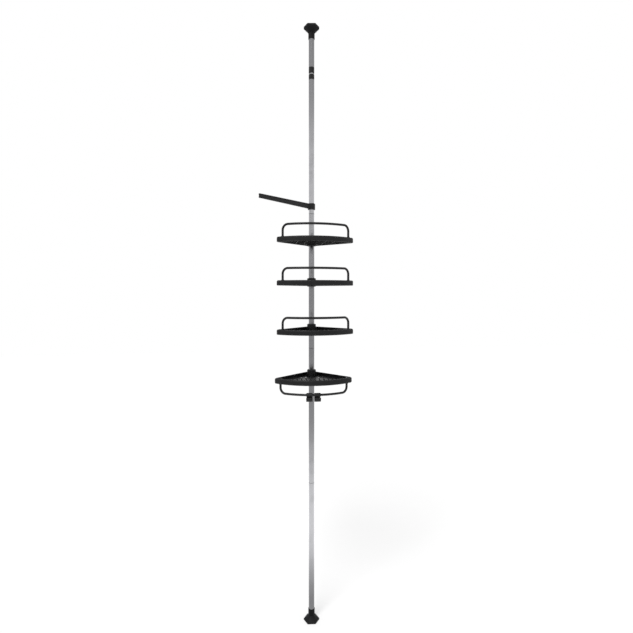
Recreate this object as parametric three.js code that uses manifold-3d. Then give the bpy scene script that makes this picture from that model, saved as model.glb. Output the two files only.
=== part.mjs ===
// A floor-to-ceiling tension pole that carries four quarter-round corner trays with guard rails,
// a swinging towel arm and two sliding hooks. Millimetres, +Z up, the trays' open front towards -Y.
// The origin is the centre of the floor pad's underside, on the pole's axis.
import * as THREE from "three";
import { mergeVertices } from "three/addons/utils/BufferGeometryUtils.js";
import Module from "manifold-3d";

const wasm = await Module();
wasm.setup();

// The whole pole
const overallHeight = 2650;
const fitGap = 0.3; // clearance between pieces that seat on each other
const overrun = 2; // how far a cutter passes the face that it opens
const roundSegments = 24;
const hiddenSegments = 14; // of the pieces inside the tubes

// Polished steel pole: four sections on plastic plugs
const poleRadius = 12.5;
const poleWall = 0.8;
const poleSections = 4;
const plugLength = 90;
const plugWall = 2.2;
const seamThickness = 1;
const poleBore = poleRadius - poleWall;

// The moulded six-sided bell at the floor and the ceiling, on a thin pad below and a thick one above
const footRadius = 35.5; // to the corners
const footCornerRound = 5;
const bellHeight = 49;
const footEdge = 2;
const footEdgeRound = 1;
const footSideSteps = 4;
const footFlareSteps = 5;
const footTurns = { floor: THREE.MathUtils.degToRad(-6), ceiling: THREE.MathUtils.degToRad(-8) };
const neckRadius = 14.3;
const neckLength = 27;
const neckRound = 1.2;
const floorPadThickness = 2;
const ceilingPadThickness = 7.5;
const padGrooveRadius = 20;
const padGrooveWidth = 3;
const padGrooveDepth = 1;
const floorSocketDepth = 38;
const flareOutShare = 0.4; // how far out the bell's curve is pulled, of its overhang
const flareUpShare = 0.35; // how far up it is pulled, of its height

// Telescopic head: the lock nut on a split collet, the inner tube and the sprung ceiling bell
const lockBaseShare = 0.9103; // height of the lock nut's foot, of the overall height
const lockNutHeight = 23.6;
const lockNutLip = 2.8;
const colletWall = 1.1;
const colletSlot = 2;
const colletSlots = 4;
const colletRoot = 3;
const colletSpigot = 26;
const lockGap = 6.3; // bare inner tube between the two collars
const collarHeight = 24.6;
const collarSpigot = 20;
const collarCrown = 3;
const innerTubeRadius = 9.5;
const innerTubeWall = 1;
const innerTubeReach = 380; // below the lock nut's foot
const guideHeight = 20;
const headSocketDepth = 41;
const pressRoom = 16; // the ceiling bell's room to move down over the upper tube
const plungerRadius = 6;
const plungerFlangeRadius = 11;
const plungerFlangeHeight = 4;
const plungerFlangeDrop = 12; // from the upper tube's top edge down to the flange
const plungerTail = 30;
const bushRim = 1.5;
const plungerSocket = 4;
const springWire = 2.2;
const springRadius = 9;
const springTurns = 9;
const springStepsPerTurn = 8;
const springSides = 5;

// Corner tray
const shelfHeightShares = [0.6308, 0.5626, 0.4855, 0.4087]; // tray undersides, of the overall height
const shelfTurns = [0, 0, 0, -3.5].map(THREE.MathUtils.degToRad); // about the pole, at rest
const trayRadius = 236; // front edge, from the corner of the walls
const wallOffset = 30; // straight edges, from the pole's axis
const cornerRadius = 24;
const tipRadius = 14;
const rimHeight = 22;
const rimWall = 2.4;
const rimFootInset = 1;
const rimFootHeight = 2;
const lipOverhang = 1.2;
const lipHeight = 4;
const lipRound = 0.8;
const floorUnderside = 4.5;
const floorThickness = 2.6;
const frontSteps = 14;
const tipSteps = 3;
const cornerSteps = 4;
const slotPitch = 19;
const slotWidth = 6.5;
const slotColumns = 12;
const slotMargin = 10;
const slotDivideShare = 0.42; // the solid band between the two rows, of the front radius
const slotBand = 12;
const shortestSlot = 18;
const slotEndSteps = 3;
const ribThickness = 2;
const ribHeight = 3.6;
const ribColumns = [-4, -2, 2, 4]; // slot pitches from the middle
const hubRadius = 20;
const hubHeight = 34;

// Tapered split grip between the pole and a tray's hub
const gripFootWall = 3.4;
const gripTopWall = 1.8;
const gripFlangeRadius = 19;
const gripFlangeHeight = 3;
const gripRise = 2; // how far the grip stands above the hub
const gripSplit = 0.8;
const gripBore = poleRadius + fitGap;
const hubTaper = (height) => gripBore + gripFootWall - ((gripFootWall - gripTopWall) * height) / hubHeight;

// Guard rail, its sockets and screws
const railRadius = 4;
const railBend = 24;
const railRise = 49.5; // a standing rail's middle line above the rim
const railDrop = 37.5; // a hanging rail's middle line below the tray
const railInset = 8;
const railHalfAngle = THREE.MathUtils.degToRad(37.2);
const railSides = 8;
const railBendSteps = 5;
const railFrontSteps = 12;
const bossRadius = 7;
const bossRecess = 4;
const bossWeb = 3;
const bossSegments = 16;
const screwRadius = 2;
const screwGrip = 12; // length inside the rail's leg
const screwHeadRadius = 4.4;
const screwHeadHeight = 2.8;
const screwHeadRound = 1;
const screwSegments = 10;

// Towel arm
const armHeightShare = 0.6919; // hub's underside, of the overall height
const armHubRadius = 16.5;
const armHubHeight = 24;
const armHubRound = 1;
const armGripFootWall = 1.6;
const armGripTopWall = 1;
const armGripFlangeRadius = 15.8;
const armGripFlangeHeight = 2.6;
const armTaper = (height) =>
  gripBore + armGripFootWall - ((armGripFootWall - armGripTopWall) * height) / armHubHeight;
const armSwing = THREE.MathUtils.degToRad(219); // direction of the bar from +X, seen from above
const armReach = 302; // from the pole's axis to the end cap's face
const armBarHeight = 23;
const armTipHeight = 17.5; // the bar's lower edge rises to this height at its end
const armBarThickness = 8;
const armBarCorner = 1.6;
const armBarWall = 1.2;
const armGrooveDepth = 1;
const armGrooveHeight = 11;
const armStubReach = 26;
const armTenonLength = 18;
const armCapThickness = 5;
const armCapRound = 1.5;

// Sliding hook on the hanging rail
const hookWidth = 25;
const hookThickness = 3;
const hookStem = 17;
const hookCurl = 8.5; // radius of the curl's middle line
const hookLip = 7;
const hookClearance = 0.5; // round the rail, so that the hook slides along its curve
const hookClipTurn = THREE.MathUtils.degToRad(215); // how far the clip goes round the rail
const hookClipSteps = 8;
const hookWidthSteps = 3;
const hookCurlSteps = 8;
const hookPlaces = {
  left: THREE.MathUtils.degToRad(-5.2),
  right: THREE.MathUtils.degToRad(3),
};

// Finishes
const steel = new THREE.MeshStandardMaterial({ color: 0x9a9a9a, roughness: 0.22, metalness: 1 });
const innerSteel = new THREE.MeshStandardMaterial({ color: 0xc8c8c8, roughness: 0.15, metalness: 1 });
const springSteel = new THREE.MeshStandardMaterial({ color: 0x6e7075, roughness: 0.35, metalness: 1 });
const blackPlastic = new THREE.MeshStandardMaterial({ color: 0x262626, roughness: 0.5, metalness: 0 });
const greyPlastic = new THREE.MeshStandardMaterial({ color: 0x4a4a4a, roughness: 0.55, metalness: 0 });
const blackPaint = new THREE.MeshStandardMaterial({ color: 0x1d1d1e, roughness: 0.4, metalness: 0.2 });
const rubber = new THREE.MeshStandardMaterial({ color: 0x1b1b1b, roughness: 0.85, metalness: 0 });

const unit = new THREE.Group();

function place(name, geometry, material, height = 0, turn = 0) {
  const mesh = new THREE.Mesh(geometry, material);
  mesh.name = name;
  mesh.position.z = height;
  mesh.rotation.z = turn;
  unit.add(mesh);
  return mesh;
}

// Solids: a closed three.js geometry to and from a boolean solid
function solidOf(geometry) {
  const bare = geometry.index ? geometry.toNonIndexed() : geometry.clone();
  bare.deleteAttribute("normal");
  bare.deleteAttribute("uv");
  const merged = mergeVertices(bare);
  return new wasm.Manifold(
    new wasm.Mesh({
      numProp: 3,
      vertProperties: new Float32Array(merged.attributes.position.array),
      triVerts: new Uint32Array(merged.index.array),
    }),
  );
}

function geometryOf(solid) {
  const { vertProperties, triVerts } = solid.getMesh();
  const geometry = new THREE.BufferGeometry();
  geometry.setAttribute("position", new THREE.BufferAttribute(vertProperties, 3));
  geometry.setIndex(new THREE.BufferAttribute(triVerts, 1));
  return geometry.toNonIndexed();
}

function join(first, ...others) {
  return others.reduce((whole, piece) => whole.add(solidOf(piece)), solidOf(first));
}

function cut(whole, ...tools) {
  return tools.reduce((left, tool) => left.subtract(solidOf(tool)), whole);
}

// A solid of revolution about Z. The profile holds [radius, height] pairs, anticlockwise.
function turned(profile, segments = roundSegments) {
  const points = profile.map(([radius, height]) => new THREE.Vector2(radius, height));
  return new THREE.LatheGeometry(points, segments).rotateX(Math.PI / 2);
}

// A ring of rectangular section about Z, closed on itself.
function sleeve(outer, inner, from, to, segments = roundSegments) {
  return turned([[inner, from], [outer, from], [outer, to], [inner, to], [inner, from]], segments);
}

function rod(radius, from, to, segments = roundSegments) {
  return turned([[0, from], [radius, from], [radius, to], [0, to]], segments);
}

function block(sizeX, sizeY, sizeZ, x, y, z) {
  return new THREE.BoxGeometry(sizeX, sizeY, sizeZ).translate(x, y, z);
}

// Cuts a hub's bore a fit's width outside its tapered grip.
function taperedBore(taper, height) {
  return turned([
    [0, -overrun],
    [taper(-overrun) + fitGap, -overrun],
    [taper(height + overrun) + fitGap, height + overrun],
    [0, height + overrun],
  ]);
}

function arcPoints(centreX, centreY, radius, from, to, steps) {
  return Array.from({ length: steps + 1 }, (_, i) => {
    const angle = from + ((to - from) * i) / steps;
    return new THREE.Vector2(centreX + radius * Math.cos(angle), centreY + radius * Math.sin(angle));
  });
}

// Skins rings of equal point counts into a closed body: capped at both ends, or joined end to end.
function skin(rings, closed) {
  const count = rings[0].length;
  const positions = rings.flat().flatMap((point) => [point.x, point.y, point.z]);
  const faces = [];
  const spans = closed ? rings.length : rings.length - 1;
  for (let i = 0; i < spans; i += 1) {
    const next = (i + 1) % rings.length;
    for (let j = 0; j < count; j += 1) {
      const a = i * count + j;
      const b = i * count + ((j + 1) % count);
      const c = next * count + ((j + 1) % count);
      const d = next * count + j;
      faces.push(a, b, c, a, c, d);
    }
  }
  if (!closed) {
    const last = (rings.length - 1) * count;
    for (let j = 1; j < count - 1; j += 1) {
      faces.push(0, j + 1, j, last, last + j, last + j + 1);
    }
  }
  const geometry = new THREE.BufferGeometry();
  geometry.setAttribute("position", new THREE.Float32BufferAttribute(positions, 3));
  geometry.setIndex(faces);
  return geometry;
}

// A round tube of the given radius through the points, its section carried along without twist.
function tubeThrough(points, radius, sides, startSide) {
  const side = startSide.clone();
  const rings = points.map((point, i) => {
    const before = points[Math.max(i - 1, 0)];
    const after = points[Math.min(i + 1, points.length - 1)];
    const along = after.clone().sub(before).normalize();
    side.addScaledVector(along, -side.dot(along)).normalize();
    const other = along.clone().cross(side);
    return Array.from({ length: sides }, (_, j) => {
      const angle = (2 * Math.PI * j) / sides;
      return point
        .clone()
        .addScaledVector(side, radius * Math.cos(angle))
        .addScaledVector(other, radius * Math.sin(angle));
    });
  });
  return skin(rings, false);
}

// Feet: a rubber pad standing at height zero, and a bell with a socket for the tube that seats on it.
// Both have one six-sided outline with rounded corners, shrunk to the given corner radius.
function footOutline(cornerDistance) {
  const round = (footCornerRound * cornerDistance) / footRadius;
  const centreDistance = cornerDistance - round / Math.cos(Math.PI / 6);
  return Array.from({ length: 6 }, (_, corner) => {
    const angle = (corner * Math.PI) / 3;
    return arcPoints(
      centreDistance * Math.cos(angle),
      centreDistance * Math.sin(angle),
      round,
      angle - Math.PI / 6,
      angle + Math.PI / 6,
      footSideSteps,
    );
  }).flat();
}

// A ring between the six-sided outline (roundness 0) and a circle (roundness 1) at one height.
function footRing(distance, height, roundness) {
  return footOutline(distance).map((point) => {
    const circle = point.clone().normalize().multiplyScalar(distance);
    const at = point.lerp(circle, roundness);
    return new THREE.Vector3(at.x, at.y, height);
  });
}

function padGeometry(thickness) {
  const grooveIn = padGrooveRadius - padGrooveWidth / 2;
  const grooveOut = padGrooveRadius + padGrooveWidth / 2;
  const outer = skin(
    [
      footRing(footRadius - footEdgeRound, 0, 0),
      footRing(footRadius, footEdgeRound, 0),
      footRing(footRadius, thickness, 0),
    ],
    false,
  );
  return geometryOf(cut(solidOf(outer), sleeve(grooveOut, grooveIn, -overrun, padGrooveDepth)));
}

function bellGeometry(padThickness, socketDepth, plungerHole) {
  const base = padThickness + fitGap;
  const top = base + bellHeight;
  const edgeTop = base + footEdge;
  const neckFoot = top - neckLength;
  const overhang = footRadius - neckRadius;
  const flare = new THREE.QuadraticBezierCurve(
    new THREE.Vector2(footRadius, edgeTop),
    new THREE.Vector2(
      neckRadius + flareOutShare * overhang,
      edgeTop + flareUpShare * (neckFoot - edgeTop),
    ),
    new THREE.Vector2(neckRadius, neckFoot),
  ).getPoints(footFlareSteps);
  const body = solidOf(
    skin(
      [
        footRing(footRadius - footEdgeRound, base, 0),
        footRing(footRadius, base + footEdgeRound, 0),
        ...flare.map((point, i) => footRing(point.x, point.y, i / footFlareSteps)),
        footRing(neckRadius, top - neckRound, 1),
        footRing(neckRadius - neckRound, top, 1),
      ],
      false,
    ),
  );
  const socketFloor = top - socketDepth;
  const socket = rod(poleRadius + fitGap, socketFloor, top + overrun);
  if (plungerHole === 0) {
    return geometryOf(cut(body, socket));
  }
  const hole = rod(plungerRadius + fitGap, socketFloor - plungerHole, socketFloor + overrun);
  return geometryOf(cut(body, socket, hole));
}

// Pole: the floor foot, four sections and the plugs between them
const lockBase = lockBaseShare * overallHeight;
const floorBellTop = floorPadThickness + fitGap + bellHeight;
const poleFoot = floorBellTop - floorSocketDepth + fitGap;
const sectionPitch = (lockBase - poleFoot + seamThickness) / poleSections;
const sectionLength = sectionPitch - seamThickness;

function plugGeometry() {
  const plugRadius = poleBore - fitGap;
  const bore = plugRadius - plugWall;
  const half = plugLength / 2;
  const seam = seamThickness / 2 - fitGap / 2;
  return turned([
    [bore, -half],
    [plugRadius, -half],
    [plugRadius, -seam],
    [poleRadius, -seam],
    [poleRadius, seam],
    [plugRadius, seam],
    [plugRadius, half],
    [bore, half],
    [bore, -half],
  ], hiddenSegments);
}

const floorFoot = bellGeometry(floorPadThickness, floorSocketDepth, 0);
place("floor_pad", padGeometry(floorPadThickness), rubber, 0, footTurns.floor);
place("floor_foot", floorFoot, blackPlastic, 0, footTurns.floor);
for (let i = 0; i < poleSections; i += 1) {
  const foot = poleFoot + i * sectionPitch;
  place(`pole_tube_${i + 1}`, sleeve(poleRadius, poleBore, 0, sectionLength), steel, foot);
  if (i > 0) {
    place(`pole_plug_${i}`, plugGeometry(), greyPlastic, foot - seamThickness / 2);
  }
}

// Head: collet, lock nut, inner tube, collar, upper tube, spring, plunger and ceiling bell
const slideBore = innerTubeRadius + fitGap;
const lockTop = lockBase + lockNutHeight;
const collarBase = lockTop + lockGap;
const collarTop = collarBase + collarHeight;
const crownTop = collarTop + collarSpigot + collarCrown;
const upperTubeFoot = collarTop + fitGap;
const headBellFoot = overallHeight - ceilingPadThickness - fitGap - bellHeight;
const headSocketFloor = headBellFoot + headSocketDepth;
const upperTubeTop = headSocketFloor - pressRoom;

function colletGeometry() {
  const fingerRadius = slideBore + colletWall;
  const spigotRadius = poleBore - fitGap;
  const fingerTop = lockNutHeight - lockNutLip - fitGap;
  const body = solidOf(
    turned([
      [slideBore, -colletSpigot],
      [spigotRadius, -colletSpigot],
      [spigotRadius, 0],
      [fingerRadius, 0],
      [fingerRadius, fingerTop],
      [slideBore, fingerTop],
      [slideBore, -colletSpigot],
    ]),
  );
  const slotHeight = fingerTop - colletRoot + overrun;
  const slots = Array.from({ length: colletSlots }, (_, i) =>
    block(spigotRadius, colletSlot, slotHeight, spigotRadius, 0, colletRoot + slotHeight / 2).rotateZ(
      (2 * Math.PI * i) / colletSlots,
    ),
  );
  return geometryOf(cut(body, ...slots));
}

function lockNutGeometry() {
  const bore = slideBore + colletWall + fitGap;
  return turned([
    [bore, fitGap],
    [poleRadius, fitGap],
    [poleRadius, lockNutHeight],
    [slideBore, lockNutHeight],
    [slideBore, lockNutHeight - lockNutLip],
    [bore, lockNutHeight - lockNutLip],
    [bore, fitGap],
  ]);
}

function collarGeometry() {
  const spigotRadius = poleBore - fitGap;
  const spigotTop = collarHeight + collarSpigot;
  return turned([
    [0, spigotTop],
    [slideBore, spigotTop],
    [slideBore, 0],
    [poleRadius, 0],
    [poleRadius, collarHeight],
    [spigotRadius, collarHeight],
    [spigotRadius, spigotTop + collarCrown],
    [0, spigotTop + collarCrown],
  ]);
}

function springGeometry(height) {
  const wire = springWire / 2;
  const steps = springTurns * springStepsPerTurn;
  const points = Array.from({ length: steps + 1 }, (_, i) => {
    const angle = (2 * Math.PI * i) / springStepsPerTurn;
    const rise = wire + ((height - springWire) * i) / steps;
    return new THREE.Vector3(springRadius * Math.cos(angle), springRadius * Math.sin(angle), rise);
  });
  const pitchGap = (height - springWire) / springTurns - springWire;
  console.log(`spring: gap between its turns ${pitchGap.toFixed(2)} mm`);
  return tubeThrough(points, wire, springSides, new THREE.Vector3(1, 0, 0));
}

// The bush that closes the upper tube: its rim rests on the tube's end and the plunger slides in it.
function plungerBushGeometry() {
  const bore = plungerRadius + fitGap;
  const spigotRadius = poleBore - fitGap;
  const seat = plungerFlangeDrop;
  return turned([
    [bore, 0],
    [spigotRadius, 0],
    [spigotRadius, seat],
    [poleRadius, seat],
    [poleRadius, seat + bushRim],
    [bore, seat + bushRim],
    [bore, 0],
  ], hiddenSegments);
}

function plungerGeometry(tail, rise) {
  return turned([
    [0, -tail],
    [plungerRadius, -tail],
    [plungerRadius, 0],
    [plungerFlangeRadius, 0],
    [plungerFlangeRadius, plungerFlangeHeight],
    [plungerRadius, plungerFlangeHeight],
    [plungerRadius, rise],
    [0, rise],
  ], hiddenSegments);
}

const bushFoot = upperTubeTop - plungerFlangeDrop + fitGap;
const flangeFoot = upperTubeTop - plungerFlangeDrop - plungerFlangeHeight;
const springFoot = crownTop + fitGap;
const springHeight = flangeFoot - fitGap - springFoot;
const plungerRise = headSocketFloor + plungerSocket - fitGap - flangeFoot;
const innerTubeFoot = lockBase - innerTubeReach;
const innerTubeTop = collarTop + collarSpigot - fitGap;
const innerTubeBore = innerTubeRadius - innerTubeWall;

place("lock_collet", colletGeometry(), greyPlastic, lockBase);
place("lock_nut", lockNutGeometry(), blackPlastic, lockBase);
const innerTube = sleeve(innerTubeRadius, innerTubeBore, 0, innerTubeTop - innerTubeFoot);
place("inner_tube", innerTube, innerSteel, innerTubeFoot);
const innerGuide = sleeve(poleBore - fitGap, slideBore, 0, guideHeight);
place("inner_guide", innerGuide, greyPlastic, innerTubeFoot);
place("upper_collar", collarGeometry(), blackPlastic, collarBase);
place("upper_tube", sleeve(poleRadius, poleBore, 0, upperTubeTop - upperTubeFoot), steel, upperTubeFoot);
place("tension_spring", springGeometry(springHeight), springSteel, springFoot);
place("plunger_bush", plungerBushGeometry(), greyPlastic, bushFoot);
place("spring_plunger", plungerGeometry(plungerTail, plungerRise), greyPlastic, flangeFoot);
const ceilingBell = bellGeometry(ceilingPadThickness, headSocketDepth, plungerSocket);
const ceilingPad = padGeometry(ceilingPadThickness);
place("ceiling_bell", ceilingBell.rotateX(Math.PI), blackPlastic, overallHeight, footTurns.ceiling);
place("ceiling_pad", ceilingPad.rotateX(Math.PI), rubber, overallHeight, footTurns.ceiling);

// Tray outline: a quarter circle about the corner of the walls, its three corners rounded
const quarterTurn = Math.PI / 2;
const wallAngle = Math.PI / 4;
const trayCorner = wallOffset * Math.SQRT2; // the sharp corner of the walls, on +Y
const tipAlong = Math.sqrt((trayRadius - tipRadius) ** 2 - tipRadius ** 2);
const tipX = (tipAlong - tipRadius) / Math.SQRT2;
const tipY = trayCorner - (tipAlong + tipRadius) / Math.SQRT2;
const frontHalfAngle = wallAngle - Math.asin(tipRadius / (trayRadius - tipRadius));
const backCentreY = (wallOffset - cornerRadius) * Math.SQRT2;

// The outline drawn inset inside the straight faces, anticlockwise from the left tip.
function trayOutline(inset) {
  const left = 3 * quarterTurn - frontHalfAngle;
  const right = 3 * quarterTurn + frontHalfAngle;
  const wallLeft = quarterTurn + wallAngle;
  const wallRight = 4 * quarterTurn + wallAngle;
  return [
    ...arcPoints(0, trayCorner, trayRadius - inset, left, right, frontSteps),
    ...arcPoints(tipX, tipY, tipRadius - inset, right, wallRight, tipSteps).slice(1),
    ...arcPoints(0, backCentreY, cornerRadius - inset, wallAngle, wallLeft, cornerSteps),
    ...arcPoints(-tipX, tipY, tipRadius - inset, wallLeft, left, tipSteps).slice(0, -1),
  ];
}

// The tray's rim: one moulded section carried round the outline, with a rolled lip and a tucked-in foot.
function rimGeometry() {
  const section = [
    [rimFootInset, 0],
    [0, rimFootHeight],
    [0, rimHeight - lipHeight],
    [-lipOverhang, rimHeight - lipHeight + lipRound],
    [-lipOverhang, rimHeight - lipRound],
    [-lipOverhang + lipRound, rimHeight],
    [rimWall, rimHeight],
    [rimWall + rimFootInset, 0],
  ];
  const rings = section.map(([inset, height]) =>
    trayOutline(inset).map((point) => new THREE.Vector3(point.x, point.y, height)),
  );
  return skin(rings, true);
}

// One drain slot along Y, as a hole outline.
function slotPath(x, from, to) {
  const half = slotWidth / 2;
  return new THREE.Path([
    ...arcPoints(x, to - half, half, 0, Math.PI, slotEndSteps),
    ...arcPoints(x, from + half, half, Math.PI, 2 * Math.PI, slotEndSteps),
  ]);
}

// Drain slots in two rows, each column as long as the tray's outline and hub allow.
function slotPaths() {
  const divide = trayCorner - slotDivideShare * trayRadius - slotBand;
  const paths = [];
  for (let k = 0; k < slotColumns; k += 1) {
    const x = (k - (slotColumns - 1) / 2) * slotPitch;
    const reach = Math.abs(x) + slotWidth / 2;
    const front = trayCorner - Math.sqrt((trayRadius - slotMargin) ** 2 - reach ** 2);
    const alongWall = trayCorner - reach - slotMargin * Math.SQRT2;
    const clearOfHub = -(hubRadius + slotMargin);
    const rows = [[front, divide - slotBand / 2], [divide + slotBand / 2, clearOfHub]];
    for (const [from, limit] of rows) {
      const to = Math.min(limit, alongWall);
      if (to - from >= shortestSlot) {
        paths.push(slotPath(x, from, to));
      }
    }
  }
  return paths;
}

function floorGeometry() {
  const shape = new THREE.Shape(trayOutline(rimWall / 2));
  shape.holes = slotPaths();
  const options = { depth: floorThickness, bevelEnabled: false };
  return new THREE.ExtrudeGeometry(shape, options).translate(0, 0, floorUnderside);
}

// Stiffening ribs under the floor, between the slot columns and along the band between the rows.
function ribGeometries() {
  const divide = trayCorner - slotDivideShare * trayRadius - slotBand;
  const top = floorUnderside + floorThickness / 2;
  const middle = top - (ribHeight + floorThickness / 2) / 2;
  const tall = ribHeight + floorThickness / 2;
  const rimBite = rimWall + rimFootInset / 2;
  const inside = trayRadius - rimWall / 2 - rimFootInset;
  const ribs = ribColumns.map((column) => {
    const x = column * slotPitch;
    const front = trayCorner - Math.sqrt(inside ** 2 - x ** 2);
    const back = trayCorner - Math.abs(x) - rimBite;
    return block(ribThickness, back - front, tall, x, (front + back) / 2, middle);
  });
  const half = trayCorner - divide - rimBite;
  ribs.push(block(2 * half, ribThickness, tall, 0, divide, middle));
  return ribs;
}

// A rail's leg stands in a boss on the rim; the boss is upside down where the rail hangs.
const legRadiusLine = trayRadius - railInset;
const legX = legRadiusLine * Math.sin(railHalfAngle);
const legY = trayCorner - legRadiusLine * Math.cos(railHalfAngle);
const legSeat = bossRecess + bossWeb;

function trayGeometry(hangs) {
  const flip = (geometry) => (hangs ? geometry.rotateX(Math.PI).translate(0, 0, rimHeight) : geometry);
  const atLegs = (make) => [-legX, legX].map((x) => flip(make()).translate(x, legY, 0));
  const hub = rod(hubRadius, 0, hubHeight);
  const bosses = atLegs(() => rod(bossRadius, bossRecess, rimHeight, bossSegments));
  const sockets = atLegs(() => rod(railRadius + fitGap, legSeat, rimHeight + overrun, railSides));
  const screwHoles = atLegs(() => rod(screwRadius + fitGap, -overrun, legSeat + overrun, screwSegments));
  const hubBore = taperedBore(hubTaper, hubHeight);
  const body = join(rimGeometry(), floorGeometry(), hub, ...bosses, ...ribGeometries());
  return geometryOf(cut(body, hubBore, ...sockets, ...screwHoles));
}

// Points of a rail's middle line: leg, bend, front arc, bend, leg, wrapped on the cylinder of the legs.
function railPoints(frontHeight) {
  const bendFoot = frontHeight - railBend;
  const at = (angle, height) => {
    const x = legRadiusLine * Math.sin(angle);
    return new THREE.Vector3(x, trayCorner - legRadiusLine * Math.cos(angle), height);
  };
  const bend = Array.from({ length: railBendSteps + 1 }, (_, i) => {
    const turn = (quarterTurn * i) / railBendSteps;
    return {
      angle: railHalfAngle - (railBend * (1 - Math.cos(turn))) / legRadiusLine,
      height: bendFoot + railBend * Math.sin(turn),
    };
  });
  const frontAngle = railHalfAngle - railBend / legRadiusLine;
  const front = Array.from({ length: railFrontSteps - 1 }, (_, i) =>
    at(-frontAngle + (2 * frontAngle * (i + 1)) / railFrontSteps, frontHeight),
  );
  return [
    at(-railHalfAngle, legSeat + fitGap),
    ...bend.map(({ angle, height }) => at(-angle, height)),
    ...front,
    ...bend.reverse().map(({ angle, height }) => at(angle, height)),
    at(railHalfAngle, legSeat + fitGap),
  ];
}

function railGeometry(hangs) {
  const outward = new THREE.Vector3(-Math.sin(railHalfAngle), -Math.cos(railHalfAngle), 0);
  const frontHeight = rimHeight + (hangs ? railDrop : railRise);
  const tube = solidOf(tubeThrough(railPoints(frontHeight), railRadius, railSides, outward));
  const holeTop = legSeat + screwGrip + overrun;
  const holes = [-legX, legX].map((x) =>
    rod(screwRadius + fitGap, legSeat - overrun, holeTop, screwSegments).translate(x, legY, 0),
  );
  const rail = geometryOf(cut(tube, ...holes));
  return hangs ? rail.rotateY(Math.PI).translate(0, 0, rimHeight) : rail;
}

function screwGeometry(hangs) {
  const headTop = bossRecess - fitGap;
  const headFoot = headTop - screwHeadHeight;
  const screw = turned(
    [
      [0, headFoot],
      [screwHeadRadius - screwHeadRound, headFoot],
      [screwHeadRadius, headFoot + screwHeadRound],
      [screwHeadRadius, headTop],
      [screwRadius, headTop],
      [screwRadius, legSeat + screwGrip],
      [0, legSeat + screwGrip],
    ],
    screwSegments,
  );
  return hangs ? screw.rotateX(Math.PI).translate(0, 0, rimHeight) : screw;
}

// A tapered grip in two halves stands between the pole and a hub; its flange carries the hub.
function gripHalfGeometry(taper, flangeRadius, flangeHeight, height, side) {
  const ring = solidOf(
    turned([
      [gripBore, -flangeHeight],
      [flangeRadius, -flangeHeight],
      [flangeRadius, -fitGap],
      [taper(-fitGap), -fitGap],
      [taper(height), height],
      [gripBore, height],
      [gripBore, -flangeHeight],
    ]),
  );
  const reach = 2 * flangeRadius;
  const keepOut = block(reach, 2 * reach, 2 * reach + height, side * (gripSplit / 2 - reach / 2), 0, 0);
  return geometryOf(cut(ring, keepOut));
}

function placeGrip(name, taper, flangeRadius, flangeHeight, reach, height) {
  for (const [side, sign] of Object.entries({ left: -1, right: 1 })) {
    const half = gripHalfGeometry(taper, flangeRadius, flangeHeight, reach, sign);
    place(`${name}_${side}`, half, greyPlastic, height);
  }
}

shelfHeightShares.forEach((share, i) => {
  const shelf = i + 1;
  const height = share * overallHeight;
  const turn = shelfTurns[i];
  const hangs = shelf === shelfHeightShares.length;
  place(`tray_${shelf}`, trayGeometry(hangs), blackPlastic, height, turn);
  place(`rail_${shelf}`, railGeometry(hangs), blackPaint, height, turn);
  for (const [side, x] of [["left", -legX], ["right", legX]]) {
    const screw = screwGeometry(hangs).translate(x, legY, 0);
    place(`rail_screw_${shelf}_${side}`, screw, springSteel, height, turn);
  }
  placeGrip(`grip_${shelf}`, hubTaper, gripFlangeRadius, gripFlangeHeight, hubHeight + gripRise, height);
});

// Towel arm: a hub on its own grip, a hollow flat bar on the hub's tenon and a rounded end cap
const armHeight = armHeightShare * overallHeight;
const armMiddle = armHubHeight / 2;
const barFoot = armStubReach + fitGap;
const barEnd = armReach - armCapThickness - fitGap;

// The bar's outline across its length: height along x, thickness along y, a groove in both faces.
function barSection() {
  const high = armBarHeight / 2;
  const thick = armBarThickness / 2;
  const groove = armGrooveHeight / 2;
  const web = thick - armGrooveDepth;
  const quarter = [
    [high, thick - armBarCorner],
    [high - armBarCorner, thick],
    [groove + armGrooveDepth, thick],
    [groove, web],
  ];
  const mirrored = (signX, signY) => quarter.map(([x, y]) => new THREE.Vector2(signX * x, signY * y));
  return [
    ...mirrored(1, 1),
    ...mirrored(-1, 1).reverse(),
    ...mirrored(-1, -1),
    ...mirrored(1, -1).reverse(),
  ];
}

// Extrudes a section drawn as (height, thickness) along +X, its middle at the hub's mid-height.
function alongArm(shape, from, to) {
  const options = { depth: to - from, bevelEnabled: false };
  const bar = new THREE.ExtrudeGeometry(shape, options).rotateY(quarterTurn);
  return taperArm(bar.translate(from, 0, armMiddle));
}

// Raises the lower edge of the bar's pieces towards the tip, so that the arm tapers to armTipHeight.
function taperArm(geometry) {
  const top = armMiddle + armBarHeight / 2;
  const position = geometry.attributes.position;
  for (let i = 0; i < position.count; i += 1) {
    const along = position.getX(i) / armReach;
    const height = 1 - (1 - armTipHeight / armBarHeight) * along;
    position.setZ(i, top - (top - position.getZ(i)) * height);
  }
  return geometry;
}

const tenonHeight = armBarHeight - 2 * (armBarWall + fitGap);
const tenonThickness = armBarThickness - 2 * (armGrooveDepth + armBarWall + fitGap);

function tenon(from, to) {
  return taperArm(block(to - from, tenonThickness, tenonHeight, (from + to) / 2, 0, armMiddle));
}

function armHubGeometry() {
  const edge = armHubRadius - armHubRound;
  const drum = turned([
    [0, 0],
    [edge, 0],
    [armHubRadius, armHubRound],
    [armHubRadius, armHubHeight - armHubRound],
    [edge, armHubHeight],
    [0, armHubHeight],
  ]);
  const stub = alongArm(new THREE.Shape(barSection()), 0, armStubReach);
  const plug = tenon(armStubReach - overrun, armStubReach + armTenonLength);
  return geometryOf(cut(join(drum, stub, plug), taperedBore(armTaper, armHubHeight)));
}

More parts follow.
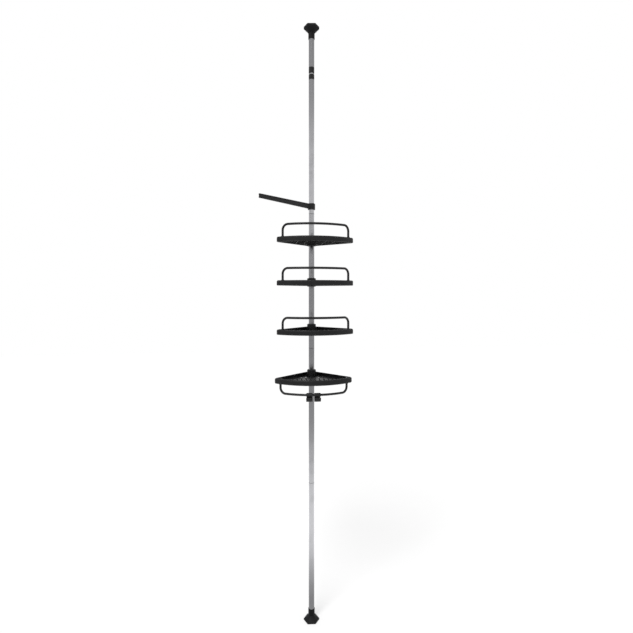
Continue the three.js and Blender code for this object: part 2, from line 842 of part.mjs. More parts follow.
function armBarGeometry() {
  const shape = new THREE.Shape(barSection());
  const high = armBarHeight / 2 - armBarWall;
  const thick = armBarThickness / 2 - armGrooveDepth - armBarWall;
  const bore = [[high, thick], [-high, thick], [-high, -thick], [high, -thick]];
  shape.holes = [new THREE.Path(bore.map(([x, y]) => new THREE.Vector2(x, y)))];
  return alongArm(shape, barFoot, barEnd);
}

// The end cap is drawn from above: a flat piece with a rounded nose, and its tenon.
function armCapGeometry() {
  const half = armBarThickness / 2;
  const nose = [
    [0, -half],
    [armCapThickness - armCapRound, -half],
    [armCapThickness, armCapRound - half],
    [armCapThickness, half - armCapRound],
    [armCapThickness - armCapRound, half],
    [0, half],
  ];
  const shape = new THREE.Shape(nose.map(([x, y]) => new THREE.Vector2(x, y)));
  const options = { depth: armBarHeight, bevelEnabled: false };
  const head = new THREE.ExtrudeGeometry(shape, options);
  head.translate(armReach - armCapThickness, 0, armMiddle - armBarHeight / 2);
  const plug = tenon(barEnd - armTenonLength, armReach - armCapThickness + armCapRound);
  return geometryOf(join(taperArm(head), plug));
}

const armGripReach = armHubHeight + gripRise;
placeGrip("arm_grip", armTaper, armGripFlangeRadius, armGripFlangeHeight, armGripReach, armHeight);
place("towel_arm_hub", armHubGeometry(), blackPlastic, armHeight, armSwing);
place("towel_arm_bar", armBarGeometry(), blackPlastic, armHeight, armSwing);
place("towel_arm_cap", armCapGeometry(), blackPlastic, armHeight, armSwing);

// Hooks on the lowest tray's hanging rail. The strip clips over the rail and curls up in front.
function hookSection() {
  const clip = railRadius + hookClearance + hookThickness / 2;
  const down = 2 * quarterTurn;
  const middle = [
    ...arcPoints(0, 0, clip, down - hookClipTurn, down, hookClipSteps),
    ...arcPoints(hookCurl - clip, -hookStem, hookCurl, down, 2 * down, hookCurlSteps),
    new THREE.Vector2(2 * hookCurl - clip, hookLip - hookStem),
  ];
  const offset = (side) =>
    middle.map((point, i) => {
      const before = middle[Math.max(i - 1, 0)];
      const after = middle[Math.min(i + 1, middle.length - 1)];
      const along = after.clone().sub(before).normalize();
      return new THREE.Vector2(-along.y, along.x).multiplyScalar((side * hookThickness) / 2).add(point);
    });
  return new THREE.Shape([...offset(-1), ...offset(1).reverse()]);
}

// The hook's strip is bent to the rail: extruded straight, then wrapped round the corner of the walls.
function hookGeometry() {
  const straight = new THREE.ExtrudeGeometry(hookSection(), {
    depth: hookWidth,
    steps: hookWidthSteps,
    bevelEnabled: false,
  }).translate(0, 0, -hookWidth / 2);
  const position = straight.attributes.position;
  for (let i = 0; i < position.count; i += 1) {
    const outward = legRadiusLine + position.getX(i);
    const height = position.getY(i);
    const angle = -position.getZ(i) / legRadiusLine;
    position.setXYZ(i, outward * Math.sin(angle), -outward * Math.cos(angle), height);
  }
  return straight;
}

const hookRailHeight = shelfHeightShares.at(-1) * overallHeight - railDrop;
for (const [side, angle] of Object.entries(hookPlaces)) {
  const hook = hookGeometry().rotateZ(angle).translate(0, trayCorner, 0);
  place(`hook_${side}`, hook, blackPlastic, hookRailHeight, shelfTurns.at(-1));
}

export default unit;
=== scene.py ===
"""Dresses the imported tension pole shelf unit: fine meshes, finishes, light and a camera.

The sizes in the classes are millimetres. A piece is drawn about the pole's axis in millimetres; when
it is finished it is put in its place and turned to metres, so that its object stays at the origin.
"""

import logging
import math
from collections.abc import Sequence
from dataclasses import dataclass
from enum import Enum
from functools import cache

import bmesh
import bpy
from mathutils import Matrix, Vector


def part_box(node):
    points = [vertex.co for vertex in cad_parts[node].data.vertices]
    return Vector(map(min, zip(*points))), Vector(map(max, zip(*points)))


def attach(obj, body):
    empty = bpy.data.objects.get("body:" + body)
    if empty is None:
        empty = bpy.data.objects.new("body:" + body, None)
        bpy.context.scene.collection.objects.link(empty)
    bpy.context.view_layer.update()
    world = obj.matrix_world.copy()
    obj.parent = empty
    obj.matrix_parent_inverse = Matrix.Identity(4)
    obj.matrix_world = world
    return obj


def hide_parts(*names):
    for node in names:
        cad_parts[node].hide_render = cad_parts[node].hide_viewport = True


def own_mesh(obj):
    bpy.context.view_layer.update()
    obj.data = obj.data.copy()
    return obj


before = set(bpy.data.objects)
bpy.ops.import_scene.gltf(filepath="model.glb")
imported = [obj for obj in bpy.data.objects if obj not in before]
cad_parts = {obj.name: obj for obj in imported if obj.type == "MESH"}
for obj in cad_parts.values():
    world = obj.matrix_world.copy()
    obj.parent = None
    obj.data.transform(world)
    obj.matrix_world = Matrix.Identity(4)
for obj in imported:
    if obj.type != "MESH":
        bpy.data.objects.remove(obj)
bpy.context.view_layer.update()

log = logging.getLogger("shelf_unit")

MM = 0.001
QUARTER = math.pi / 2
ROUND_STEPS = 96  # faces round a visible tube or hub
FILLET_STEPS = 4
SMOOTH_BELOW = math.radians(31)  # edges flatter than this are shaded round
BEVEL_ABOVE = math.radians(40)  # edges sharper than this are bevelled
MERGE_BELOW = 1e-4  # points of a mesh closer than this are one
STRAIGHT_BELOW = 1e-4  # radians; a corner this near to straight or to folded back isn't rounded
CORNER_SHARE = 0.49  # of a side, the most that the rounding of one corner takes
ON_AXIS = 1e-6  # a radius below this lies on the axis

MATH = "ShaderNodeMath"
VECTOR_MATH = "ShaderNodeVectorMath"
MAP_RANGE = "ShaderNodeMapRange"
NOISE = "ShaderNodeTexNoise"
MESH_TO_CURVE = "GeometryNodeMeshToCurve"
CURVE_TO_MESH = "GeometryNodeCurveToMesh"
SET_POSITION = "GeometryNodeSetPosition"
JOIN = "GeometryNodeJoinGeometry"
FLOAT = "NodeSocketFloat"
INT = "NodeSocketInt"
OBJECT = "NodeSocketObject"

Flat = tuple[float, float]
Corner = tuple[float, float, float]  # x, y and the radius that rounds it
Row = tuple[float, float, float]  # reach, height and roundness of a level ring
WHITE = (1.0, 1.0, 1.0, 1.0)


class End(Enum):
    """The two ends of the pole."""

    FLOOR = "floor"
    CEILING = "ceiling"


class Side(Enum):
    """The side of a piece, seen from the front, and its sign along X."""

    LEFT = -1
    RIGHT = 1

    @property
    def word(self) -> str:
        """The side's name in the CAD nodes."""
        return self.name.lower()


class RailWay(Enum):
    """How a tray's rail stands."""

    STANDING = "standing"
    HANGING = "hanging"


# Drawing tools


def arc(centre: Flat, radius: float, start: float, end: float, steps: int) -> list[Flat]:
    """Draws an arc from one angle to another, in radians, both ends included."""
    angles = [start + (end - start) * i / steps for i in range(steps + 1)]
    return [(centre[0] + radius * math.cos(a), centre[1] + radius * math.sin(a)) for a in angles]


def filleted(corners: Sequence[Corner]) -> list[Flat]:
    """Rounds each corner of a closed outline by its own radius.

    Args:
        corners: The outline's corners, each with its radius; a radius of zero stays sharp.

    Returns:
        The points of the rounded outline.
    """
    outline: list[Flat] = []
    for i, (x, y, radius) in enumerate(corners):
        corner = Vector((x, y))
        before = Vector(corners[i - 1][:2]) - corner
        after = Vector(corners[(i + 1) % len(corners)][:2]) - corner
        half = before.angle(after, 0.0) / 2
        if radius <= 0 or half < STRAIGHT_BELOW or QUARTER - half < STRAIGHT_BELOW:
            outline.append((x, y))
            continue
        reach = min(radius / math.tan(half), CORNER_SHARE * before.length, CORNER_SHARE * after.length)
        towards = (before.normalized() + after.normalized()).normalized()
        centre = corner + towards * reach / math.cos(half)
        first = corner + before.normalized() * reach - centre
        last = corner + after.normalized() * reach - centre
        for j in range(FILLET_STEPS + 1):
            # slerp gives a direction of unit length.
            outline.append(tuple(centre + first.slerp(last, j / FILLET_STEPS) * first.length))
    return outline


def standing(height: float, turn: float = 0.0) -> Matrix:
    """Places a piece drawn at the floor: its height up the pole and its turn about it, in degrees."""
    return Matrix.Translation((0, 0, height)) @ Matrix.Rotation(math.radians(turn), 4, "Z")


def foot_of(node: str) -> float:
    """The height of a CAD node's lowest point, in millimetres."""
    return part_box(node)[0].z / MM


def top_of(node: str) -> float:
    """The height of a CAD node's highest point, in millimetres."""
    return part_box(node)[1].z / MM


class Shell:
    """Closed skins, drawn in millimetres, that become one mesh."""

    def __init__(self) -> None:
        """Starts with nothing drawn."""
        self.points: list[Vector] = []
        self.faces: list[tuple[int, ...]] = []

    def skin(self, rings: Sequence[Sequence[Vector]], looped: bool = False) -> "Shell":
        """Adds a skin over rings that all have the same number of points.

        Args:
            rings: The rings, in order.
            looped: Joins the last ring to the first; otherwise both ends are capped.

        Returns:
            This shell.
        """
        base, count = len(self.points), len(rings[0])
        for ring in rings:
            self.points.extend(Vector(point) for point in ring)
        for i in range(len(rings) if looped else len(rings) - 1):
            near = base + i * count
            far = base + (i + 1) % len(rings) * count
            for j in range(count):
                after = (j + 1) % count
                self.faces.append((near + j, near + after, far + after, far + j))
        if not looped:
            last = base + (len(rings) - 1) * count
            self.faces.append(tuple(range(base + count - 1, base - 1, -1)))
            self.faces.append(tuple(range(last, last + count)))
        return self

    def turned(
        self, corners: Sequence[Corner], centre: Flat = (0.0, 0.0), steps: int = ROUND_STEPS
    ) -> "Shell":
        """Adds a body of revolution about a vertical axis.

        Args:
            corners: Radius, height and rounding of each corner of its section. A section with
                points on the axis is open there, and its two ends are capped.
            centre: Where its axis stands.
            steps: Faces round it.

        Returns:
            This shell.
        """
        section = filleted(corners)
        rings = [
            [Vector((x, y, height)) for x, y in arc(centre, radius, 0, math.tau, steps)[:-1]]
            for radius, height in section
            if radius > ON_AXIS
        ]
        return self.skin(rings, looped=len(rings) == len(section))

    def piece(self, name: str) -> bpy.types.Object:
        """Makes the object, still in millimetres.

        Args:
            name: Its name.

        Returns:
            The object, with its faces pointing outwards.
        """
        mesh = bpy.data.meshes.new(name)
        mesh.from_pydata([tuple(point) for point in self.points], [], self.faces)
        face_outwards(mesh)
        return link(name, mesh)


def face_outwards(mesh: bpy.types.Mesh) -> None:
    """Merges doubled points and points every face of each closed skin outwards.

    Args:
        mesh: The mesh.
    """
    work = bmesh.new()
    work.from_mesh(mesh)
    bmesh.ops.remove_doubles(work, verts=work.verts, dist=MERGE_BELOW)
    bmesh.ops.recalc_face_normals(work, faces=work.faces)
    work.to_mesh(mesh)
    work.free()


def link(name: str, data: bpy.types.ID) -> bpy.types.Object:
    """Puts a mesh, a lamp or a camera in the scene.

    Args:
        name: The object's name.
        data: What it shows.

    Returns:
        The object.
    """
    piece = bpy.data.objects.new(name, data)
    bpy.context.scene.collection.objects.link(piece)
    return piece


def wire(name: str, paths: Sequence[Sequence[Vector]], closed: bool = False) -> bpy.types.Object:
    """Draws lines that a node tree turns into a solid.

    Args:
        name: The object's name.
        paths: The points of each line.
        closed: Whether each line ends where it starts.

    Returns:
        An object of edges alone.
    """
    points: list[tuple[float, ...]] = []
    edges: list[tuple[int, int]] = []
    for path in paths:
        base = len(points)
        points.extend(tuple(point) for point in path)
        edges.extend((base + i, base + i + 1) for i in range(len(path) - 1))
        if closed:
            edges.append((base + len(path) - 1, base))
    mesh = bpy.data.meshes.new(name)
    mesh.from_pydata(points, edges, [])
    return link(name, mesh)


def plain_mesh(piece: bpy.types.Object) -> None:
    """Turns what a piece's modifiers make into its own mesh.

    Args:
        piece: The piece.
    """
    depsgraph = bpy.context.evaluated_depsgraph_get()
    evaluated = piece.evaluated_get(depsgraph)
    mesh = bpy.data.meshes.new_from_object(evaluated, preserve_all_data_layers=True, depsgraph=depsgraph)
    old = piece.data
    piece.modifiers.clear()
    piece.data = mesh
    bpy.data.meshes.remove(old)


def discard(helper: bpy.types.Object) -> None:
    """Removes an object that only helped to build another.

    Args:
        helper: The object.
    """
    mesh = helper.data
    bpy.data.objects.remove(helper)
    bpy.data.meshes.remove(mesh)


def settle(piece: bpy.types.Object, place: Matrix) -> None:
    """Finishes a piece's mesh: plain, in its place, in metres, round where it is round.

    Args:
        piece: The piece, drawn in millimetres.
        place: The matrix that puts it in its place, in millimetres.
    """
    if piece.modifiers:
        plain_mesh(piece)
    face_outwards(piece.data)
    piece.data.transform(Matrix.Scale(MM, 4) @ place)
    piece.data.polygons.foreach_set("use_smooth", [True] * len(piece.data.polygons))
    piece.data.set_sharp_from_angle(angle=SMOOTH_BELOW)
    piece.modifiers.new("even_shading", "WEIGHTED_NORMAL").keep_sharp = True
    plain_mesh(piece)
    piece.data.name = piece.name


# Node trees


def add_node(
    tree: bpy.types.NodeTree,
    kind: str,
    inputs: dict[str | int, object] | None = None,
    **settings: object,
) -> bpy.types.Node:
    """Adds a node with its settings and links.

    Args:
        tree: The tree that gets it.
        kind: The node's type.
        inputs: For each input, by name or number, its value or what feeds it: an output, a node
            whose first output is meant, or a list of these.
        settings: The node's own settings.

    Returns:
        The node.
    """
    node = tree.nodes.new(kind)
    for name, value in settings.items():
        setattr(node, name, value)
    for key, value in (inputs or {}).items():
        for feed in value if isinstance(value, list) else [value]:
            source = feed.outputs[0] if isinstance(feed, bpy.types.Node) else feed
            if isinstance(source, bpy.types.NodeSocket):
                tree.links.new(source, node.inputs[key])
            else:
                node.inputs[key].default_value = source
    return node


def start_tree(name: str, sizes: dict[str, str]) -> tuple[bpy.types.NodeTree, bpy.types.NodeOutputs]:
    """Starts a Geometry Nodes tree.

    Args:
        name: The tree's name.
        sizes: Name and socket type of each input besides the geometry and the finish.

    Returns:
        The tree and the outputs of its input node.
    """
    tree = bpy.data.node_groups.new(name, "GeometryNodeTree")
    tree.is_modifier = True
    kinds = {"Geometry": "NodeSocketGeometry", **sizes, "Finish": "NodeSocketMaterial"}
    for label, kind in kinds.items():
        tree.interface.new_socket(name=label, in_out="INPUT", socket_type=kind)
    tree.interface.new_socket(name="Geometry", in_out="OUTPUT", socket_type="NodeSocketGeometry")
    return tree, add_node(tree, "NodeGroupInput").outputs


def close_tree(
    tree: bpy.types.NodeTree, given: bpy.types.NodeOutputs, result: bpy.types.Node
) -> bpy.types.NodeTree:
    """Ends a tree in Realize Instances and Set Material.

    Args:
        tree: The tree.
        given: The outputs of its input node.
        result: The node whose first output is its geometry.

    Returns:
        The tree.
    """
    solid = add_node(tree, "GeometryNodeRealizeInstances", {"Geometry": result})
    inputs = {"Geometry": solid, "Material": given["Finish"]}
    add_node(tree, "NodeGroupOutput", {0: add_node(tree, "GeometryNodeSetMaterial", inputs)})
    return tree


def grown(
    piece: bpy.types.Object, tree: bpy.types.NodeTree, values: dict[str, object]
) -> bpy.types.Object:
    """Puts a node tree on a piece.

    Args:
        piece: The piece whose mesh the tree starts from.
        tree: The tree.
        values: Its inputs by name.

    Returns:
        The piece, with the tree as its modifier.
    """
    modifier = piece.modifiers.new(tree.name, "NODES")
    modifier.node_group = tree
    for item in tree.interface.items_tree:
        if item.item_type == "SOCKET" and item.in_out == "INPUT" and item.name in values:
            modifier[item.identifier] = values[item.name]
    return piece


@cache
def section_tree() -> bpy.types.NodeTree:
    """Carries a closed section along each line of a wire, level all the way: rims and ribs.

    Returns:
        The tree.
    """
    tree, given = start_tree("section_along_path", {"Section": OBJECT})
    path = add_node(tree, MESH_TO_CURVE, {"Mesh": given["Geometry"]})
    level = add_node(tree, "GeometryNodeSetCurveNormal", {"Curve": path}, mode="Z_UP")
    drawn = add_node(tree, "GeometryNodeObjectInfo", {"Object": given["Section"]})
    section = add_node(tree, MESH_TO_CURVE, {"Mesh": drawn.outputs["Geometry"]})
    inputs = {"Curve": level, "Profile Curve": section, "Fill Caps": True}
    return close_tree(tree, given, add_node(tree, CURVE_TO_MESH, inputs))


@cache
def rod_tree() -> bpy.types.NodeTree:
    """Bends a round rod along a wire.

    Returns:
        The tree.
    """
    tree, given = start_tree("rod_along_path", {"Radius": FLOAT, "Sides": INT})
    path = add_node(tree, MESH_TO_CURVE, {"Mesh": given["Geometry"]})
    sizes = {"Resolution": given["Sides"], "Radius": given["Radius"]}
    circle = add_node(tree, "GeometryNodeCurvePrimitiveCircle", sizes)
    inputs = {"Curve": path, "Profile Curve": circle, "Fill Caps": True}
    return close_tree(tree, given, add_node(tree, CURVE_TO_MESH, inputs))


@cache
def slotted_floor_tree() -> bpy.types.NodeTree:
    """Fills an outline, leaves a round-ended slot open at each loose point and thickens the sheet.

    Each loose point carries slot_length, the slot's length, and slot_id, its number.

    Returns:
        The tree.
    """
    sizes = {"Slot Width": FLOAT, "End Steps": INT, "Thickness": FLOAT}
    tree, given = start_tree("slotted_floor", sizes)
    attribute = "GeometryNodeInputNamedAttribute"
    above = {"operation": "GREATER_THAN"}
    length = add_node(tree, attribute, {"Name": "slot_length"}, data_type="FLOAT").outputs["Attribute"]
    number = add_node(tree, attribute, {"Name": "slot_id"}, data_type="INT").outputs["Attribute"]
    is_slot = add_node(tree, "FunctionNodeCompare", {0: length, 1: 0.0}, data_type="FLOAT", **above)
    inputs = {"Geometry": given["Geometry"], "Selection": is_slot}
    parts = add_node(tree, "GeometryNodeSeparateGeometry", inputs, domain="POINT").outputs
    outline = add_node(tree, MESH_TO_CURVE, {"Mesh": parts["Inverted"]})
    centres = add_node(tree, "GeometryNodeMeshToPoints", {"Mesh": parts["Selection"]})
    # A slot is drawn by two half circles, each of one point more than its steps.
    ends = {0: given["End Steps"], 1: 2.0, 2: 2.0}
    per_slot = add_node(tree, MATH, ends, operation="MULTIPLY_ADD")
    inputs = {"Geometry": centres, "Amount": per_slot}
    copies = add_node(tree, "GeometryNodeDuplicateElements", inputs, domain="POINT")
    step = copies.outputs["Duplicate Index"]
    second = add_node(tree, MATH, {0: step, 1: given["End Steps"]}, **above)
    turns = add_node(tree, MATH, {0: step, 1: second}, operation="SUBTRACT")
    share = add_node(tree, MATH, {0: turns, 1: given["End Steps"]}, operation="DIVIDE")
    angle = add_node(tree, MATH, {0: share, 1: math.pi}, operation="MULTIPLY")
    half = add_node(tree, MATH, {0: given["Slot Width"], 1: 0.5}, operation="MULTIPLY")
    reach = add_node(tree, MATH, {0: length, 1: 0.5}, operation="MULTIPLY")
    straight = add_node(tree, MATH, {0: reach, 1: half}, operation="SUBTRACT")
    sign = add_node(tree, MATH, {0: second, 1: -2.0, 2: 1.0}, operation="MULTIPLY_ADD")
    shift = add_node(tree, MATH, {0: straight, 1: sign}, operation="MULTIPLY")
    cosine = add_node(tree, MATH, {0: angle}, operation="COSINE")
    sine = add_node(tree, MATH, {0: angle}, operation="SINE")
    across = add_node(tree, MATH, {0: cosine, 1: half}, operation="MULTIPLY")
    along = add_node(tree, MATH, {0: sine, 1: half, 2: shift}, operation="MULTIPLY_ADD")
    offset = add_node(tree, "ShaderNodeCombineXYZ", {"X": across, "Y": along})
    placed = add_node(tree, SET_POSITION, {"Geometry": copies, "Offset": offset})
    inputs = {"Points": placed, "Curve Group ID": number, "Weight": step}
    slots = add_node(tree, "GeometryNodePointsToCurves", inputs)
    rings = add_node(tree, "GeometryNodeSetSplineCyclic", {0: slots, "Cyclic": True})
    lines = add_node(tree, JOIN, {0: [outline, rings]})
    sheet = add_node(tree, "GeometryNodeFillCurve", {"Curve": lines}, mode="NGONS")
    inputs = {"Mesh": sheet, "Offset Scale": given["Thickness"], "Individual": False}
    raised = add_node(tree, "GeometryNodeExtrudeMesh", inputs, mode="FACES")
    under = add_node(tree, "GeometryNodeFlipFaces", {"Mesh": sheet})
    both = add_node(tree, JOIN, {0: [raised, under]})
    closed = add_node(tree, "GeometryNodeMergeByDistance", {"Geometry": both, "Distance": 0.001})
    return close_tree(tree, given, closed)


@cache
def coil_tree() -> bpy.types.NodeTree:
    """Winds a compression spring upwards from its foot, with a closed turn at each end.

    Returns:
        The tree.
    """
    floats = ("Radius", "Wire Radius", "Turns", "Height", "Closed Pitch")
    sizes = {**dict.fromkeys(floats, FLOAT), "Steps": INT, "Sides": INT}
    tree, given = start_tree("compression_spring", sizes)
    turns, height, pitch = given["Turns"], given["Height"], given["Closed Pitch"]
    ends = {"Start Radius": given["Radius"], "End Radius": given["Radius"], "Height": 0.0}
    inputs = {"Resolution": given["Steps"], "Rotations": turns, **ends}
    spiral = add_node(tree, "GeometryNodeCurveSpiral", inputs)
    along = add_node(tree, "GeometryNodeSplineParameter").outputs["Factor"]
    turned = add_node(tree, MATH, {0: along, 1: turns}, operation="MULTIPLY")
    # The wire climbs slowly in its first and last turn and evenly between them.
    low = add_node(tree, MATH, {0: turned, 1: pitch}, operation="MULTIPLY")
    left = add_node(tree, MATH, {0: turns, 1: turned}, operation="SUBTRACT")
    left_rise = add_node(tree, MATH, {0: left, 1: pitch}, operation="MULTIPLY")
    high = add_node(tree, MATH, {0: height, 1: left_rise}, operation="SUBTRACT")
    last_open = add_node(tree, MATH, {0: turns, 1: 1.0}, operation="SUBTRACT")
    last_rise = add_node(tree, MATH, {0: height, 1: pitch}, operation="SUBTRACT")
    between = {"From Min": 1.0, "From Max": last_open, "To Min": pitch, "To Max": last_rise}
    even = add_node(tree, MAP_RANGE, {"Value": turned, **between}, clamp=False)
    rise = add_node(tree, MATH, {0: even, 1: low}, operation="MAXIMUM")
    capped = add_node(tree, MATH, {0: rise, 1: high}, operation="MINIMUM")
    lift = add_node(tree, MATH, {0: capped, 1: given["Wire Radius"]}, operation="ADD")
    offset = add_node(tree, "ShaderNodeCombineXYZ", {"Z": lift})
    placed = add_node(tree, SET_POSITION, {"Geometry": spiral, "Offset": offset})
    inputs = {"Resolution": given["Sides"], "Radius": given["Wire Radius"]}
    circle = add_node(tree, "GeometryNodeCurvePrimitiveCircle", inputs)
    inputs = {"Curve": placed, "Profile Curve": circle, "Fill Caps": True}
    return close_tree(tree, given, add_node(tree, CURVE_TO_MESH, inputs))


@cache
def fastener_tree() -> bpy.types.NodeTree:
    """Sets one screw at each point, each driven home at its own turn.

    Returns:
        The tree.
    """
    tree, given = start_tree("screws_on_points", {"Screw": OBJECT, "Seed": INT})
    points = add_node(tree, "GeometryNodeMeshToPoints", {"Mesh": given["Geometry"]})
    screw = add_node(tree, "GeometryNodeObjectInfo", {"Object": given["Screw"]})
    inputs = {2: 0.0, 3: math.tau, "Seed": given["Seed"]}
    turn = add_node(tree, "FunctionNodeRandomValue", inputs, data_type="FLOAT")
    about = add_node(tree, "ShaderNodeCombineXYZ", {"Z": turn.outputs[1]})
    rotation = add_node(tree, "FunctionNodeEulerToRotation", {0: about})
    inputs = {"Points": points, "Instance": screw.outputs["Geometry"], "Rotation": rotation}
    return close_tree(tree, given, add_node(tree, "GeometryNodeInstanceOnPoints", inputs))


@cache
def flute_tree() -> bpy.types.NodeTree:
    """Presses finger flutes into the side of a turned piece, between two heights.

    Returns:
        The tree.
    """
    floats = ("Depth", "Foot", "Top", "Fade", "Inside")
    tree, given = start_tree("finger_flutes", {"Flutes": INT, **dict.fromkeys(floats, FLOAT)})
    foot, top, fade = given["Foot"], given["Top"], given["Fade"]
    position = add_node(tree, "GeometryNodeInputPosition")
    place = add_node(tree, "ShaderNodeSeparateXYZ", {0: position}).outputs
    angle = add_node(tree, MATH, {0: place["Y"], 1: place["X"]}, operation="ARCTAN2")
    wave_angle = add_node(tree, MATH, {0: angle, 1: given["Flutes"]}, operation="MULTIPLY")
    wave = add_node(tree, MATH, {0: wave_angle}, operation="COSINE")
    hollow = add_node(tree, MAP_RANGE, {"Value": wave, "From Min": -0.2, "From Max": 1.0})
    foot_end = add_node(tree, MATH, {0: foot, 1: fade}, operation="ADD")
    top_end = add_node(tree, MATH, {0: top, 1: fade}, operation="SUBTRACT")
    from_foot, to_top = (
        add_node(
            tree,
            MAP_RANGE,
            {"Value": place["Z"], "From Min": start, "From Max": end},
            interpolation_type="SMOOTHSTEP",
        )
        for start, end in ((foot, foot_end), (top, top_end))
    )
    band = add_node(tree, MATH, {0: from_foot, 1: to_top}, operation="MULTIPLY")
    amount = add_node(tree, MATH, {0: band, 1: hollow}, operation="MULTIPLY")
    inwards = add_node(tree, MATH, {0: amount, 1: given["Depth"]}, operation="MULTIPLY")
    negative = add_node(tree, MATH, {0: inwards, 1: -1.0}, operation="MULTIPLY")
    plan = add_node(tree, VECTOR_MATH, {0: position, 1: (1.0, 1.0, 0.0)}, operation="MULTIPLY")
    radial = add_node(tree, VECTOR_MATH, {0: plan}, operation="NORMALIZE")
    radius = add_node(tree, VECTOR_MATH, {0: plan}, operation="LENGTH").outputs["Value"]
    inputs = {0: radius, 1: given["Inside"]}
    outside = add_node(tree, "FunctionNodeCompare", inputs, data_type="FLOAT", operation="GREATER_THAN")
    offset = add_node(tree, VECTOR_MATH, {0: radial, "Scale": negative}, operation="SCALE")
    inputs = {"Geometry": given["Geometry"], "Selection": outside, "Offset": offset}
    return close_tree(tree, given, add_node(tree, SET_POSITION, inputs))


# Finishes


def linear(code: str) -> tuple[float, float, float, float]:
    """Turns an sRGB hex colour into linear values.

    Args:
        code: The colour as #rrggbb.

    Returns:
        Linear red, green, blue and an alpha of one.
    """
    parts = [int(code[i : i + 2], 16) / 255 for i in (1, 3, 5)]
    red, green, blue = (
        part / 12.92 if part <= 0.04045 else ((part + 0.055) / 1.055) ** 2.4 for part in parts
    )
    return (red, green, blue, 1.0)


def per(millimetres: float) -> float:
    """The texture scale whose features are about this many millimetres across."""
    return 1 / (millimetres * MM)


@dataclass(frozen=True)
class Finish:
    """What all finishes share: two tones in soft patches, and a fine pattern in gloss and bump."""

    name: str
    slot: str
    colour: str
    patch_colour: str  # where it is handled, rubbed or flecked
    roughness: float
    roughness_swing: float
    width: float  # of the fine pattern
    depth: float
    patch_width: float
    stretch: tuple[float, float, float] = (1.0, 1.0, 1.0)  # small along the pattern's lines
    detail: Flat = (5.0, 0.6)  # finer layers of the pattern and how strong they are
    patch_detail: Flat = (5.0, 0.6)
    patch_range: Flat = (0.42, 0.78)  # of the noise, from no patch to a full one
    gloss_range: Flat = (0.3, 0.7)  # of the pattern, from the glossiest to the dullest
    bump: float = 0.5

    def constants(self) -> dict[str, float]:
        """The shader's own constant values."""
        return {}

    def gloss(
        self, tree: bpy.types.NodeTree, pattern: bpy.types.Node, patches: bpy.types.Node
    ) -> bpy.types.Node:
        """What dulls the surface: the pattern."""
        return pattern

    def relief(
        self, tree: bpy.types.NodeTree, place: bpy.types.NodeSocket, pattern: bpy.types.Node
    ) -> bpy.types.Node:
        """What raises the surface: the pattern."""
        return pattern

    @cache
    def material(self) -> bpy.types.Material:
        """Builds the finish once.

        Returns:
            The material.
        """
        material = bpy.data.materials.new(self.name)
        material.use_nodes = True
        tree = material.node_tree
        tree.nodes.clear()
        place = add_node(tree, "ShaderNodeTexCoord").outputs["Object"]
        stretched = add_node(tree, "ShaderNodeMapping", {"Vector": place, "Scale": self.stretch})
        pattern, clouds = (
            add_node(
                tree, NOISE, {"Vector": at, "Scale": per(width), "Detail": layers, "Roughness": strength}
            )
            for at, width, (layers, strength) in (
                (stretched, self.width, self.detail),
                (place, self.patch_width, self.patch_detail),
            )
        )
        low, high = self.patch_range
        patches = add_node(tree, MAP_RANGE, {"Value": clouds, "From Min": low, "From Max": high})
        tones = {0: patches, 6: linear(self.colour), 7: linear(self.patch_colour)}
        colour = add_node(tree, "ShaderNodeMix", tones, data_type="RGBA").outputs[2]
        gloss = self.gloss(tree, pattern, patches)
        inputs = {
            "From Min": self.gloss_range[0],
            "From Max": self.gloss_range[1],
            "To Min": self.roughness - self.roughness_swing,
            "To Max": self.roughness + self.roughness_swing,
        }
        roughness = add_node(tree, MAP_RANGE, {"Value": gloss, **inputs})
        height = self.relief(tree, place, pattern)
        inputs = {"Strength": self.bump, "Distance": self.depth * MM, "Height": height}
        normal = add_node(tree, "ShaderNodeBump", inputs)
        inputs = {"Base Color": colour, "Roughness": roughness, "Normal": normal, **self.constants()}
        shader = add_node(tree, "ShaderNodeBsdfPrincipled", inputs)
        add_node(tree, "ShaderNodeOutputMaterial", {"Surface": shader})
        return material


@dataclass(frozen=True)
class TurnedSteel(Finish):
    """Steel tube or wire whose polishing or drawing lines run one way, dulled where it is handled.

    The lines are too fine to show at their real width, so they are drawn as coarse as width.
    """

    patch_width: float = 45.0
    detail: Flat = (3.0, 0.6)
    patch_detail: Flat = (4.0, 0.55)
    patch_range: Flat = (0.45, 0.75)
    gloss_range: Flat = (0.2, 1.4)
    bump: float = 0.35

    def constants(self) -> dict[str, float]:
        """The shader's own constant values."""
        return {"Metallic": 1.0}

    def gloss(
        self, tree: bpy.types.NodeTree, pattern: bpy.types.Node, patches: bpy.types.Node
    ) -> bpy.types.Node:
        """What dulls the surface: the lines and the smudges together."""
        return add_node(tree, MATH, {0: pattern, 1: patches}, operation="ADD")


